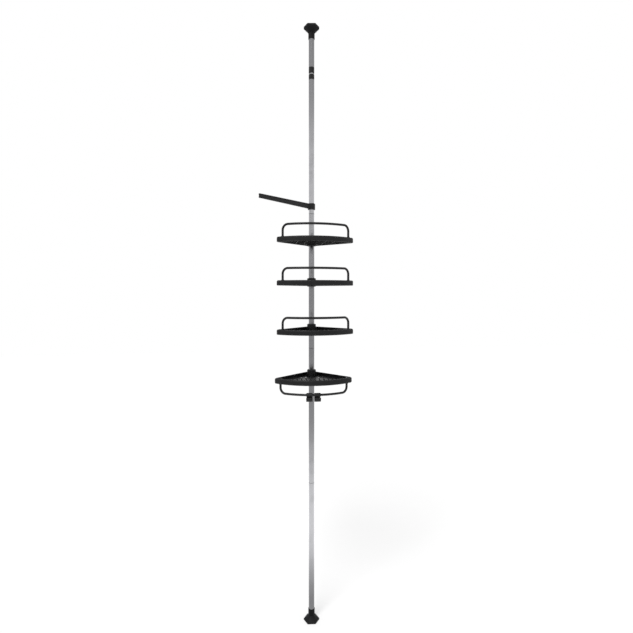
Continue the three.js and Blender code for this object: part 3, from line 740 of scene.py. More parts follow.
@dataclass(frozen=True)
class Moulding(Finish):
    """Moulded plastic or rubber, cloudy in tone, with the fine grain of a spark-eroded mould.

    The grain is drawn a little coarser than it is, so that it shows close up.
    """

    patch_width: float = 40.0
    detail: Flat = (5.0, 0.62)
    ior: float = 1.53
    specular: float = 0.35
    pit_width: float = 1.6  # of the grain's own width
    pit_depth: float = 0.5

    def constants(self) -> dict[str, float]:
        """The shader's own constant values."""
        return {"IOR": self.ior, "Specular IOR Level": self.specular}

    def relief(
        self, tree: bpy.types.NodeTree, place: bpy.types.NodeSocket, pattern: bpy.types.Node
    ) -> bpy.types.Node:
        """Adds the pits of the spark-eroded mould to the grain.

        Args:
            tree: The material's tree.
            place: Where a point lies on the object.
            pattern: The grain.

        Returns:
            The node that gives the height.
        """
        inputs = {"Vector": place, "Scale": per(self.pit_width * self.width)}
        pits = add_node(tree, "ShaderNodeTexVoronoi", inputs, feature="SMOOTH_F1")
        return add_node(tree, MATH, {0: pits, 1: self.pit_depth, 2: pattern}, operation="MULTIPLY_ADD")


@dataclass(frozen=True)
class Coating(Finish):
    """Baked coating on steel: a smooth film with shallow orange peel and sparse flecks."""

    detail: Flat = (1.5, 0.4)
    patch_detail: Flat = (2.0, 0.7)
    patch_range: Flat = (0.6, 0.75)
    bump: float = 0.4
    ior: float = 1.5
    specular: float = 0.16
    film: float = 0.1  # weight of the clear gloss over it
    film_roughness: float = 0.2

    def constants(self) -> dict[str, float]:
        """The shader's own constant values."""
        base = {"IOR": self.ior, "Specular IOR Level": self.specular}
        return {**base, "Coat Weight": self.film, "Coat Roughness": self.film_roughness}


# Stainless tube, centreless polished: mid grey in a pale room, with hair lines round the tube.
POLISHED_STAINLESS = TurnedSteel(
    "stainless_steel_centreless_polished", "polished_steel", "#808082", "#79797b",
    roughness=0.2, roughness_swing=0.05, width=0.9, depth=0.008, stretch=(0.04, 0.04, 1.0),
)
# Bright chromed inner tube: paler, smoother, with the same hair lines.
BRIGHT_INNER_TUBE = TurnedSteel(
    "carbon_steel_chrome_plated_polished", "inner_steel", "#a6a7a9", "#9a9b9d",
    roughness=0.12, roughness_swing=0.04, width=0.9, depth=0.005, stretch=(0.04, 0.04, 1.0),
)
# Oil-tempered spring wire: blue-grey, drawn, slightly dull.
SPRING_WIRE = TurnedSteel(
    "spring_steel_oil_tempered_drawn", "spring_steel", "#5b5e63", "#46484c",
    roughness=0.36, roughness_swing=0.08, width=0.7, depth=0.02, stretch=(1.0, 1.0, 0.2),
)
# Zinc-plated screws: pale, slightly bluish and milky.
ZINC_PLATE = TurnedSteel(
    "carbon_steel_zinc_plated", "spring_steel", "#a3a7ab", "#8a8d8c",
    roughness=0.38, roughness_swing=0.08, width=0.5, depth=0.02, patch_width=3.0,
)
# ABS injection moulded in a spark-eroded mould: satin black, a very fine even grain.
BLACK_ABS = Moulding(
    "abs_black_injection_moulded", "black_plastic", "#111112", "#19191a",
    roughness=0.46, roughness_swing=0.06, width=0.8, depth=0.05, specular=0.16,
)
# Polypropylene bells: a deeper, duller black than the trays, with hardly a highlight.
BLACK_POLYPROPYLENE = Moulding(
    "polypropylene_black_injection_moulded", "black_plastic", "#0d0d0e", "#141415",
    roughness=0.55, roughness_swing=0.05, width=0.9, depth=0.05, ior=1.49, specular=0.11,
)
# Nylon grips, collet and bushes: dark grey and a little waxy.
GREY_NYLON = Moulding(
    "nylon_grey_injection_moulded", "grey_plastic", "#38393a", "#454647",
    roughness=0.52, roughness_swing=0.05, width=0.7, depth=0.03,
)
# Thermoplastic rubber pads: dull black with a grey bloom.
SOFT_RUBBER = Moulding(
    "thermoplastic_rubber_moulded", "rubber", "#161616", "#232322", roughness=0.8,
    roughness_swing=0.08, width=0.6, depth=0.06, patch_width=14.0, ior=1.52, specular=0.2,
)
# Epoxy powder coat on bent steel rod: smooth satin black with shallow orange peel.
BLACK_COAT = Coating(
    "epoxy_powder_coat_black", "black_paint", "#0f0f10", "#191919",
    roughness=0.36, roughness_swing=0.05, width=2.2, depth=0.05, patch_width=0.7,
)


def dress(
    piece: bpy.types.Object, place: Matrix, finish: Finish, body: str, *stands_for: str
) -> None:
    """Puts a drawn piece in its place, gives it its material and its body, and hides the CAD nodes that it
    replaces.

    Args:
        piece: The piece, drawn in millimetres.
        place: The matrix that puts it in its place, in millimetres.
        finish: Its finish.
        body: The CAD body that carries it.
        stands_for: The CAD nodes that it replaces.
    """
    settle(piece, place)
    piece.data.materials.clear()
    piece.data.materials.append(finish.material())
    if stands_for:
        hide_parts(*stands_for)
    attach(piece, body)
    log.info("%s: %d faces on %s", piece.name, len(piece.data.polygons), body)


def dress_node(node: str, finish: Finish) -> None:
    """Gives a CAD node that stays in sight its finish.

    Args:
        node: The node's name.
        finish: Its finish.
    """
    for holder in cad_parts[node].material_slots:
        holder.material = finish.material()
    log.info("%s: CAD solid kept, %s", node, finish.name)


# The pole


@dataclass(frozen=True)
class Tube:
    """Steel tube with softened cut ends."""

    radius: float
    wall: float
    gap: float = 0.3  # between pieces that seat on each other
    end_round: float = 0.35

    @property
    def bore(self) -> float:
        """Inner radius."""
        return self.radius - self.wall

    def build(self, node: str, body: str, finish: Finish) -> None:
        """Builds and dresses a tube as long as a CAD node.

        Args:
            node: The CAD node that it stands for.
            body: The CAD body that carries it.
            finish: Its finish.
        """
        length, soft = top_of(node) - foot_of(node), min(self.end_round, self.wall / 3)
        foot = [(self.bore, 0, soft / 2), (self.radius, 0, soft)]
        top = [(self.radius, length, soft), (self.bore, length, soft / 2)]
        piece = Shell().turned(foot + top).piece(f"{node}_drawn")
        dress(piece, standing(foot_of(node)), finish, body, node)


TUBE = Tube(radius=12.5, wall=0.8)  # the pole's, which everything on it fits


@dataclass
class Bell:
    """The moulded six-sided bell at one end of the pole, with its rubber pad."""

    end: End
    body: str
    turn: float  # degrees about the pole
    pad_thickness: float
    socket_depth: float
    plunger_hole: float = 0.0
    plunger_radius: float = 6.0
    corner_reach: float = 35.5
    corner_round: float = 5.0
    height: float = 49.0
    edge: float = 2.0
    edge_round: float = 1.0
    neck_radius: float = 14.3
    neck_length: float = 27.0
    neck_round: float = 1.2
    groove_radii: tuple[float, ...] = (12.0, 20.0, 26.5)
    groove_width: float = 3.0
    groove_depth: float = 1.0
    groove_slope: float = 0.3
    tread_middle: float = 2.0
    flare_out: float = 0.4  # how far out the bell's curve is pulled, of its overhang
    flare_up: float = 0.35  # how far up it is pulled, of its height
    flare_start: float = 0.03  # where its first ring lies, of the curve
    corner_steps: int = 8
    side_steps: int = 5
    flare_steps: int = 26

    def outline(self, reach: float) -> list[Vector]:
        """Draws the six-sided outline with rounded corners.

        Args:
            reach: Distance of its corners from the axis.

        Returns:
            Its points in plan, with a few along each side.
        """
        soft = self.corner_round * reach / self.corner_reach
        centre = reach - soft / math.cos(math.pi / 6)
        corners = []
        for angle in (corner * math.pi / 3 for corner in range(6)):
            about = (centre * math.cos(angle), centre * math.sin(angle))
            start, end = angle - math.pi / 6, angle + math.pi / 6
            corners.append(arc(about, soft, start, end, self.corner_steps))
        points = []
        for i, corner_points in enumerate(corners):
            points.extend(Vector(point) for point in corner_points)
            start, end = Vector(corner_points[-1]), Vector(corners[(i + 1) % 6][0])
            points.extend(start.lerp(end, j / self.side_steps) for j in range(1, self.side_steps))
        return points

    def ring(self, reach: float, height: float, roundness: float) -> list[Vector]:
        """Draws a level ring: six-sided where its roundness is zero, a circle where it is one."""
        points = [at.lerp(at.normalized() * reach, roundness) for at in self.outline(reach)]
        return [Vector((at.x, at.y, height)) for at in points]

    def edge_rows(self, foot: float) -> list[Row]:
        """Lists the rings that round the lower edge of the bell or the pad."""
        centre = (self.corner_reach - self.edge_round, foot + self.edge_round)
        return [(*at, 0.0) for at in arc(centre, self.edge_round, -QUARTER, 0, FILLET_STEPS)]

    def bell_rows(self) -> list[Row]:
        """Lists the bell's rings from the base up, over the neck and down into the socket.

        Returns:
            Reach, height and roundness of each.
        """
        reach, neck, soft = self.corner_reach, self.neck_radius, self.neck_round
        base = self.pad_thickness + TUBE.gap
        top, edge_top = base + self.height, base + self.edge
        neck_foot = top - self.neck_length
        rows = [*self.edge_rows(base), (reach, edge_top - 0.3, 0.0)]
        start, end = Vector((reach, edge_top)), Vector((neck, neck_foot))
        pull_up = edge_top + self.flare_up * (neck_foot - edge_top)
        pull = Vector((neck + self.flare_out * (reach - neck), pull_up))
        for i in range(1, self.flare_steps + 1):
            t = self.flare_start + (1 - self.flare_start) * i / self.flare_steps
            rows.append((*start.lerp(pull, t).lerp(pull.lerp(end, t), t), t))
        bore, floor = TUBE.radius + TUBE.gap, top - self.socket_depth
        inner = [(bore + 0.2, top), (bore, top - 0.2), (bore, floor)]
        if self.plunger_hole:
            hole = self.plunger_radius + TUBE.gap
            inner += [(hole, floor), (hole, floor - self.plunger_hole)]
        crown = arc((neck - soft, top - soft), soft, 0, QUARTER, FILLET_STEPS)
        return rows + [(*at, 1.0) for at in [(neck, top - 2 * soft), *crown, *inner]]

    def pad_rows(self) -> list[Row]:
        """Lists the pad's rings, from the middle of its tread outwards and up.

        Returns:
            Reach, height and roundness of each.
        """
        half, deep = self.groove_width / 2, self.groove_depth
        reach, top = self.corner_reach, self.pad_thickness
        flat = half - self.groove_slope
        tread = [(self.tread_middle, 0.0)]
        for radius in self.groove_radii:
            tread += [(radius - half, 0.0), (radius - flat, deep)]
            tread += [(radius + flat, deep), (radius + half, 0.0)]
        rows = [(*at, 1.0) for at in tread] + self.edge_rows(0.0)
        return [*rows, (reach, top - 0.4, 0.0), (reach - 0.4, top, 0.0)]

    def place(self) -> Matrix:
        """Finds where the bell stands: on the floor, or upside down against the ceiling.

        Returns:
            The matrix that puts it there, in millimetres.
        """
        if self.end is End.FLOOR:
            return standing(0, self.turn)
        return standing(top_of("ceiling_pad"), self.turn) @ Matrix.Rotation(math.pi, 4, "X")

    def build(self) -> None:
        """Builds and dresses the bell and its pad."""
        word = self.end.value
        node = "floor_foot" if self.end is End.FLOOR else "ceiling_bell"
        bell = Shell().skin([self.ring(*row) for row in self.bell_rows()])
        dress(bell.piece(f"{word}_bell_moulding"), self.place(), BLACK_POLYPROPYLENE, self.body, node)
        pad = Shell().skin([self.ring(*row) for row in self.pad_rows()])
        dress(pad.piece(f"{word}_grip_pad"), self.place(), SOFT_RUBBER, self.body, f"{word}_pad")


@dataclass
class PoleSections:
    """The four steel tubes of the pole and the plugs that join them."""

    count: int = 4
    plug_length: float = 90.0
    plug_wall: float = 2.2
    seam: float = 0.35  # half the height of the plug's collar, which shows between two tubes
    plug_steps: int = 64

    def build(self) -> None:
        """Builds and dresses the tubes and the plugs."""
        for number in range(1, self.count + 1):
            TUBE.build(f"pole_tube_{number}", "pole", POLISHED_STAINLESS)
        for number in range(1, self.count):
            self.build_plug(f"pole_plug_{number}")

    def build_plug(self, node: str) -> None:
        """Builds and dresses one plug.

        Args:
            node: The CAD node that it stands for.
        """
        half, outer, seam = self.plug_length / 2, TUBE.bore - TUBE.gap, self.seam
        bore = outer - self.plug_wall
        upper = [(TUBE.radius, seam, 0.15), (outer, seam, 0), (outer, half, 1.2), (bore, half, 0.4)]
        lower = [(radius, -height, soft) for radius, height, soft in reversed(upper)]
        plug = Shell().turned(lower + upper, steps=self.plug_steps).piece(f"{node}_moulding")
        dress(plug, standing((foot_of(node) + top_of(node)) / 2), GREY_NYLON, "pole", node)


@dataclass
class TelescopicHead:
    """The lock nut, the inner tube, the upper collar and tube, and the spring inside them."""

    inner: Tube = Tube(radius=9.5, wall=1.0)
    nut_height: float = 23.6
    nut_lip: float = 2.8
    nut_round: float = 0.9
    flutes: int = 30
    flute_depth: float = 0.4
    flute_fade: float = 2.5
    flute_margin: float = 2.6
    flute_overrun: float = 0.5
    flute_skin: float = 0.3  # only points this near the nut's side are pressed in
    flute_levels: int = 18
    collet_wall: float = 1.1
    collar_height: float = 24.6
    collar_spigot: float = 20.0
    collar_crown: float = 3.0
    wire: float = 2.2
    coil_radius: float = 9.0
    coil_turns: float = 9.0
    coil_steps: int = 32
    wire_sides: int = 12
    closed_pitch: float = 2.4
    press: float = 14.0  # how far the ceiling bell can be pushed down

    def nut(self) -> bpy.types.Object:
        """Draws the lock nut, with finger flutes round its side.

        Returns:
            The piece.
        """
        side, bore, soft = TUBE.radius, self.inner.radius + TUBE.gap, self.nut_round
        slot = bore + self.collet_wall + TUBE.gap
        foot, top, lip = TUBE.gap, self.nut_height, self.nut_height - self.nut_lip
        low, high = foot + self.flute_margin, top - self.flute_margin
        # Level rings along the side give the flutes points to follow.
        band = [low + (high - low) * i / self.flute_levels for i in range(self.flute_levels + 1)]
        corners = [(slot, foot, 0.2), (side, foot, soft), *((side, level, 0.0) for level in band)]
        corners += [(side, top, soft), (bore, top, 0.3), (bore, lip, 0), (slot, lip, 0)]
        values = {
            "Flutes": self.flutes,
            "Depth": self.flute_depth,
            "Foot": low - self.flute_overrun,
            "Top": high + self.flute_overrun,
            "Fade": self.flute_fade,
            "Inside": side - self.flute_skin,
            "Finish": BLACK_ABS.material(),
        }
        nut = Shell().turned(corners, steps=8 * self.flutes).piece("lock_nut_moulding")
        return grown(nut, flute_tree(), values)

    def collar(self) -> bpy.types.Object:
        """Draws the collar that carries the upper tube on the inner tube's end.

        Returns:
            The piece.
        """
        bore, spigot = self.inner.radius + TUBE.gap, TUBE.bore - TUBE.gap
        side, height = TUBE.radius, self.collar_height
        roof = height + self.collar_spigot
        top = roof + self.collar_crown
        corners = [(0, roof, 0), (bore, roof, 0), (bore, 0, 0.3), (side, 0, self.nut_round)]
        corners += [(side, height, 0.5), (spigot, height, 0), (spigot, top, 0.8), (0, top, 0)]
        return Shell().turned(corners).piece("upper_collar_moulding")

    def spring(self, height: float) -> bpy.types.Object:
        """Draws the compression spring.

        Args:
            height: Its height at rest.

        Returns:
            The piece.
        """
        values = {
            "Radius": self.coil_radius,
            "Wire Radius": self.wire / 2,
            "Turns": self.coil_turns,
            "Height": height - self.wire,
            "Closed Pitch": self.closed_pitch,
            "Steps": self.coil_steps,
            "Sides": self.wire_sides,
            "Finish": SPRING_WIRE.material(),
        }
        return grown(wire("tension_spring_wound", [[Vector(), Vector((1, 0, 0))]]), coil_tree(), values)

    def build(self) -> None:
        """Builds and dresses the head."""
        nut_place = standing(foot_of("lock_nut") - TUBE.gap)
        dress(self.nut(), nut_place, BLACK_ABS, "lock_nut", "lock_nut")
        collar_place = standing(foot_of("upper_collar"))
        dress(self.collar(), collar_place, BLACK_ABS, "mast", "upper_collar")
        self.inner.build("inner_tube", "mast", BRIGHT_INNER_TUBE)
        TUBE.build("upper_tube", "mast", POLISHED_STAINLESS)
        foot, top = foot_of("tension_spring"), top_of("tension_spring")
        spring = self.spring(top - foot)
        dress(spring, standing(foot), SPRING_WIRE, "mast", "tension_spring")
        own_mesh(spring)
        for node in ("lock_collet", "inner_guide", "plunger_bush", "spring_plunger"):
            dress_node(node, GREY_NYLON)


@dataclass
class SplitGrip:
    """A tapered grip in two halves between the pole and a hub; its flange carries the hub."""

    name: str  # of its CAD body, which also starts the names of its two nodes
    hub_height: float
    foot_wall: float
    top_wall: float
    flange_radius: float
    flange_height: float
    rise: float = 2.0
    split: float = 0.8
    steps: int = 48

    @property
    def bore(self) -> float:
        """Inner radius of the grip."""
        return TUBE.radius + TUBE.gap

    def taper(self, height: float) -> float:
        """Outer radius at a height above the flange."""
        return self.bore + self.foot_wall - (self.foot_wall - self.top_wall) * height / self.hub_height

    def hub_bore(self, height: float) -> float:
        """Inner radius of the hub at a height above the flange."""
        return self.taper(height) + TUBE.gap

    def build(self) -> None:
        """Builds and dresses both halves."""
        top, flange, gap = self.hub_height + self.rise, self.flange_radius, TUBE.gap
        outline = filleted([
            (self.bore, -self.flange_height, 0.3), (flange, -self.flange_height, 0.8),
            (flange, -gap, 0.6), (self.taper(-gap), -gap, 0),
            (self.taper(top), top, 0.4), (self.bore, top, 0.3),
        ])
        half_turn = QUARTER - math.asin(self.split / 2 / self.bore)
        height = foot_of(f"{self.name}_left") + self.flange_height
        for side in Side:
            middle = 0 if side is Side.RIGHT else math.pi
            turns = [middle + half_turn * (2 * i / self.steps - 1) for i in range(self.steps + 1)]
            rings = [[Vector((r * math.cos(a), r * math.sin(a), z)) for r, z in outline] for a in turns]
            node = f"{self.name}_{side.word}"
            half = Shell().skin(rings).piece(f"{node}_moulding")
            dress(half, standing(height), GREY_NYLON, self.name, node)


# Shelves


@dataclass
class Shelf:
    """One corner tray with its bent rail, screws and grip."""

    number: int
    rail_way: RailWay
    turn: float = 0.0  # degrees about the pole
    radius: float = 236.0
    wall_offset: float = 30.0
    corner_radius: float = 24.0
    tip_radius: float = 14.0
    rim_height: float = 22.0
    rim_wall: float = 2.4
    rim_bulge: float = 1.0  # of the outer face beyond the outline
    rim_foot_round: float = 3.8
    rim_top_round: float = 5.8
    rim_top_width: float = 7.0
    rim_steps: int = 8
    floor_underside: float = 4.5
    floor_thickness: float = 2.6
    slot_pitch: float = 19.0
    slot_width: float = 6.5
    slot_columns: int = 12
    slot_margin: float = 10.0
    slot_divide: float = 0.42  # the solid band between the two rows, of the front radius
    slot_band: float = 12.0
    shortest_slot: float = 18.0
    slot_end_steps: int = 10
    slot_round: float = 0.5
    rib_thickness: float = 2.0
    rib_height: float = 3.6
    rib_clearance: float = 0.5  # between a rib's end and the rim's wall
    rib_columns: tuple[int, ...] = (-4, -2, 2, 4)
    cross_rib_pitch: float = 26.0
    cross_ribs: tuple[int, ...] = (-4, -3, -2, -1, 0, 1)  # counted from the solid band
    hub_radius: float = 20.0
    hub_height: float = 34.0
    hub_round: float = 1.2
    hub_foot_round: float = 3.0
    gusset_turns: tuple[float, ...] = (-150.0, -120.0, -60.0, -30.0)
    gusset_reach: float = 28.0
    gusset_height: float = 14.0
    gusset_thickness: float = 1.8
    gusset_edge: float = 0.35
    rail_radius: float = 4.8
    rail_bend: float = 24.0
    rail_rise: float = 49.5
    rail_drop: float = 37.5
    rail_inset: float = 8.0
    rail_half_angle: float = 37.2  # degrees
    rail_sides: int = 28
    rail_bend_steps: int = 16
    rail_front_steps: int = 72
    boss_radius: float = 7.6
    boss_recess: float = 4.0
    boss_web: float = 3.0
    boss_steps: int = 40
    ferrule_height: float = 2.0
    screw_radius: float = 2.0
    screw_grip: float = 12.0
    screw_head_radius: float = 4.4
    screw_head_height: float = 2.8
    screw_steps: int = 32
    cross_width: float = 1.1
    cross_reach: float = 2.4
    cross_depth: float = 1.4
    cross_taper: Flat = (0.6, 0.45)  # width and reach at its bottom, of those at its top
    front_steps: int = 96
    tip_steps: int = 12
    corner_steps: int = 16
    opening_steps: int = 64

    @property
    def corner_y(self) -> float:
        """The sharp corner of the two walls, on +Y: the centre of the front arc."""
        return self.wall_offset * math.sqrt(2)

    @property
    def grip(self) -> SplitGrip:
        """The grip that carries the tray."""
        walls = {"foot_wall": 3.4, "top_wall": 1.8, "flange_radius": 19.0, "flange_height": 3.0}
        return SplitGrip(f"grip_{self.number}", self.hub_height, **walls)

    @property
    def floor_top(self) -> float:
        """Height of the floor's upper face."""
        return self.floor_underside + self.floor_thickness

    @property
    def leg_circle(self) -> float:
        """Radius of the arc that the rail's legs stand on."""
        return self.radius - self.rail_inset

    @property
    def leg(self) -> Flat:
        """Where the right leg stands."""
        across, along = math.sin(self.leg_turn), math.cos(self.leg_turn)
        return (self.leg_circle * across, self.corner_y - self.leg_circle * along)

    @property
    def leg_turn(self) -> float:
        """The right leg's angle round the front arc, in radians."""
        return math.radians(self.rail_half_angle)

    @property
    def leg_seat(self) -> float:
        """Height of a rail's end in its boss."""
        return self.boss_recess + self.boss_web

    @property
    def divide_y(self) -> float:
        """Middle of the solid band between the two rows of slots."""
        return self.corner_y - self.slot_divide * self.radius - self.slot_band

    def place(self) -> Matrix:
        """Where the tray stands on the pole."""
        return standing(foot_of(f"grip_{self.number}_left") + self.grip.flange_height, self.turn)

    def way(self, height: float) -> float:
        """Turns a height on a standing rail's side to the same place on a hanging rail's side."""
        return self.rim_height - height if self.rail_way is RailWay.HANGING else height

    def outline(self, inset: float) -> list[Flat]:
        """Draws the tray's outline anticlockwise from its left tip.

        Args:
            inset: How far inside the tray's outer faces it lies.

        Returns:
            Its points.
        """
        along = math.sqrt((self.radius - self.tip_radius) ** 2 - self.tip_radius**2)
        tip_x = (along - self.tip_radius) / math.sqrt(2)
        tip_y = self.corner_y - (along + self.tip_radius) / math.sqrt(2)
        half = QUARTER / 2 - math.asin(self.tip_radius / (self.radius - self.tip_radius))
        left, right = 3 * QUARTER - half, 3 * QUARTER + half
        back_y = (self.wall_offset - self.corner_radius) * math.sqrt(2)
        tip, corner = self.tip_radius - inset, self.corner_radius - inset
        return [
            *arc((0, self.corner_y), self.radius - inset, left, right, self.front_steps),
            *arc((tip_x, tip_y), tip, right, 4.5 * QUARTER, self.tip_steps)[1:],
            *arc((0, back_y), corner, 0.5 * QUARTER, 1.5 * QUARTER, self.corner_steps),
            *arc((-tip_x, tip_y), tip, 1.5 * QUARTER, left, self.tip_steps)[:-1],
        ]

    def moulded(
        self, part: str, paths: Sequence[Sequence[Flat]], corners: Sequence[Corner], closed: bool
    ) -> bpy.types.Object:
        """Carries a section along level lines.

        Args:
            part: The name of this part of the tray.
            paths: The points of each line.
            corners: Distance outwards from the line, height and rounding of each corner.
            closed: Whether each line ends where it starts.

        Returns:
            The piece.
        """
        # Along a level path the tree turns a section's y downwards.
        ring = [Vector((outwards, -up, 0)) for outwards, up in filleted(corners)]
        section = wire(f"{part}_section", [ring], closed=True)
        lines = [[Vector((x, y, 0)) for x, y in path] for path in paths]
        piece = wire(f"tray_{self.number}_{part}", lines, closed)
        grown(piece, section_tree(), {"Section": section, "Finish": BLACK_ABS.material()})
        plain_mesh(piece)
        discard(section)
        return piece

    def rim(self) -> bpy.types.Object:
        """Draws the rim: one section round the outline, soft outside and on top.

        Inside, the section ends in a soft toe that runs out on the floor.

        Returns:
            The piece.
        """
        top, wall, bulge, floor_top = self.rim_height, self.rim_wall, self.rim_bulge, self.floor_top
        inner_top = bulge - self.rim_top_width
        foot, brow, steps = self.rim_foot_round, self.rim_top_round, self.rim_steps
        outer = arc((bulge - foot, foot), foot, -QUARTER, 0, steps)
        outer += arc((bulge - brow, top - brow), brow, 0, QUARTER, steps)
        inner = [
            (inner_top, top, 0.8), (inner_top + 0.5, top - 5.0, 2.0),
            (-wall - 0.6, floor_top, 2.2), (-wall - 4.0, floor_top, 0.0),
            (-wall - 4.0, floor_top - 0.8, 0.0),
            (-wall - 1.2, self.floor_underside - 0.4, 0.4), (-wall - 1.2, 0.0, 0.7),
        ]
        corners = [*((x, y, 0.0) for x, y in outer), *inner]
        return self.moulded("rim", [self.outline(0)], corners, closed=True)

    def slots(self) -> list[tuple[float, float, float]]:
        """Lists the drain slots, as long as the outline and the hub allow.

        Returns:
            Middle and length of each.
        """
        found = []
        half_band, clear_of_hub = self.slot_band / 2, -(self.hub_radius + self.slot_margin)
        for column in range(self.slot_columns):
            x = (column - (self.slot_columns - 1) / 2) * self.slot_pitch
            reach = abs(x) + self.slot_width / 2
            front = self.corner_y - math.sqrt((self.radius - self.slot_margin) ** 2 - reach**2)
            along_wall = self.corner_y - reach - self.slot_margin * math.sqrt(2)
            rows = [(front, self.divide_y - half_band), (self.divide_y + half_band, clear_of_hub)]
            for start, limit in rows:
                end = min(limit, along_wall)
                if end - start >= self.shortest_slot:
                    found.append((x, (start + end) / 2, end - start))
        return found

    def floor(self) -> bpy.types.Object:
        """Draws the slotted floor, with a round opening whose edge lies inside the hub's wall.

        Returns:
            The piece.
        """
        opening = (self.grip.taper(0) + self.hub_radius) / 2
        hole = arc((0, 0), opening, 0, math.tau, self.opening_steps)[:-1]
        name, slots = f"tray_{self.number}_floor", self.slots()
        points, edges = [], []
        for ring in (self.outline(self.rim_wall / 2), hole):
            start, size = len(points), len(ring)
            points += [(x, y, 0.0) for x, y in ring]
            edges += [(start + i, start + (i + 1) % size) for i in range(size)]
        count = len(points)
        mesh = bpy.data.meshes.new(name)
        mesh.from_pydata(points + [(x, y, 0.0) for x, y, _ in slots], edges, [])
        lengths = mesh.attributes.new("slot_length", "FLOAT", "POINT")
        lengths.data.foreach_set("value", [0.0] * count + [length for _, _, length in slots])
        numbers = mesh.attributes.new("slot_id", "INT", "POINT")
        numbers.data.foreach_set("value", [0] * count + list(range(len(slots))))
        values = {
            "Slot Width": self.slot_width,
            "End Steps": self.slot_end_steps,
            "Thickness": self.floor_thickness,
            "Finish": BLACK_ABS.material(),
        }
        floor = grown(link(name, mesh), slotted_floor_tree(), values)
        edge = floor.modifiers.new("rounded_edges", "BEVEL")
        edge.width, edge.segments = self.slot_round, 2
        edge.limit_method, edge.angle_limit = "ANGLE", BEVEL_ABOVE
        return floor

    def half_width(self, y: float) -> float:
        """Finds how far the tray's inside reaches to either side.

        Args:
            y: The place along the tray's middle line.

        Returns:
            The distance from the middle line.
        """
        points = self.outline(self.rim_wall + self.rib_clearance)
        found = 0.0
        for start, end in zip(points, points[1:] + points[:1]):
            if min(start[1], end[1]) <= y < max(start[1], end[1]):
                share = (y - start[1]) / (end[1] - start[1])
                found = max(found, start[0] + share * (end[0] - start[0]))
        return found

    def ribs(self) -> bpy.types.Object:
        """Draws the ribs under the floor, thinner towards their feet as moulded ribs are.

        Returns:
            The piece.
        """
        foot = self.floor_underside - self.rib_height
        top = self.floor_underside + self.floor_thickness / 2
        half = self.rib_thickness / 2
        right = [(half - 0.3, foot, 0.4), (half, top - 1.4, 0.5), (half + 0.7, top, 0.0)]
        left = [(-across, height, soft) for across, height, soft in reversed(right)]
        inside = self.radius - self.rim_wall / 2 - 1.0
        paths = []
        for x in (column * self.slot_pitch for column in self.rib_columns):
            front = self.corner_y - math.sqrt(inside**2 - x**2)
            back = self.corner_y - abs(x) - self.rim_wall - self.rib_clearance
            paths.append([(x, front), (x, back)])
        for y in (self.divide_y + row * self.cross_rib_pitch for row in self.cross_ribs):
            reach = min(self.half_width(y + way * self.rib_thickness) for way in (-1, 1))
            paths.append([(-reach, y), (reach, y)])
        return self.moulded("ribs", paths, right + left, closed=False)

    def hub(self) -> bpy.types.Object:
        """Draws the hub, with a soft root on the floor and gussets in front.

        Returns:
            The piece.
        """
        radius, height, grip, soft = self.hub_radius, self.hub_height, self.grip, self.hub_foot_round
        floor_top, underside = self.floor_top, self.floor_underside
        shell = Shell().turned([
            (grip.hub_bore(0), 0, 0.5), (radius, 0, 0.6), (radius, underside, 0),
            (radius + soft, underside + 0.6, 0), (radius + soft, floor_top, 0),
            (radius, floor_top, soft), (radius - 0.5, height, self.hub_round),
            (grip.hub_bore(height), height, 0.6),
        ])
        root, sole, crest = radius - 1.5, floor_top - 1.2, floor_top + self.gusset_height
        side = filleted([
            (root, sole, 0), (self.gusset_reach, sole, 0), (self.gusset_reach, floor_top + 1.0, 0.6),
            (radius + 1.2, crest, 2.0), (root, crest, 0),
        ])
        half, edge = self.gusset_thickness / 2, self.gusset_edge
        # The gusset's edges are drawn in by a little on both faces.
        layers = [(-half, edge), (edge - half, 0.0), (half - edge, 0.0), (half, edge)]
        for turn in self.gusset_turns:
            about = standing(0, turn)
            shell.skin([
                [about @ Vector((x - inset, across, z - inset)) for x, z in side]
                for across, inset in layers
            ])
        return shell.piece(f"tray_{self.number}_hub")

    def bosses(self) -> bpy.types.Object:
        """Draws the two bosses that hold the rail's legs, each with a short ferrule round the rail.

        Returns:
            The piece.
        """
        bore, hole = self.rail_radius + TUBE.gap, self.screw_radius + TUBE.gap
        radius, top, seat = self.boss_radius, self.rim_height, self.leg_seat
        neck = top + self.ferrule_height
        corners = [
            (hole, self.boss_recess, 0.2), (radius, self.boss_recess, 0.6),
            (radius, top - 5.0, 2.5), (bore + 1.4, top, 0.4), (bore + 1.1, neck, 0.5),
            (bore, neck, 0.2), (bore, seat, 0), (hole, seat, 0),
        ]
        outline = [(across, self.way(height), soft) for across, height, soft in corners]
        shell = Shell()
        for side in Side:
            centre = (side.value * self.leg[0], self.leg[1])
            shell.turned(outline, centre, self.boss_steps)
        return shell.piece(f"tray_{self.number}_bosses")

    def rail_points(self) -> list[Vector]:
        """Draws the rail's middle line.

        Returns:
            The points of a leg, a bend, the front arc, a bend and a leg.
        """
        hanging = self.rail_way is RailWay.HANGING
        front_height = self.rim_height + (self.rail_drop if hanging else self.rail_rise)
        circle, radius, half = self.leg_circle, self.rail_bend, self.leg_turn
        seat, count = self.leg_seat + TUBE.gap, self.rail_front_steps

        def at(angle: float, height: float) -> Vector:
            """A point on the legs' circle."""
            x = circle * math.sin(angle)
            return Vector((x, self.corner_y - circle * math.cos(angle), self.way(height)))

        bend = []
        for i in range(self.rail_bend_steps + 1):
            turn = QUARTER * i / self.rail_bend_steps
            angle = half - radius * (1 - math.cos(turn)) / circle
            bend.append((angle, front_height - radius + radius * math.sin(turn)))
        front = half - radius / circle
        return [
            at(-half, seat),
            *(at(-angle, height) for angle, height in bend),
            *(at(front * (2 * i / count - 1), front_height) for i in range(1, count)),
            *(at(angle, height) for angle, height in reversed(bend)),
            at(half, seat),
        ]

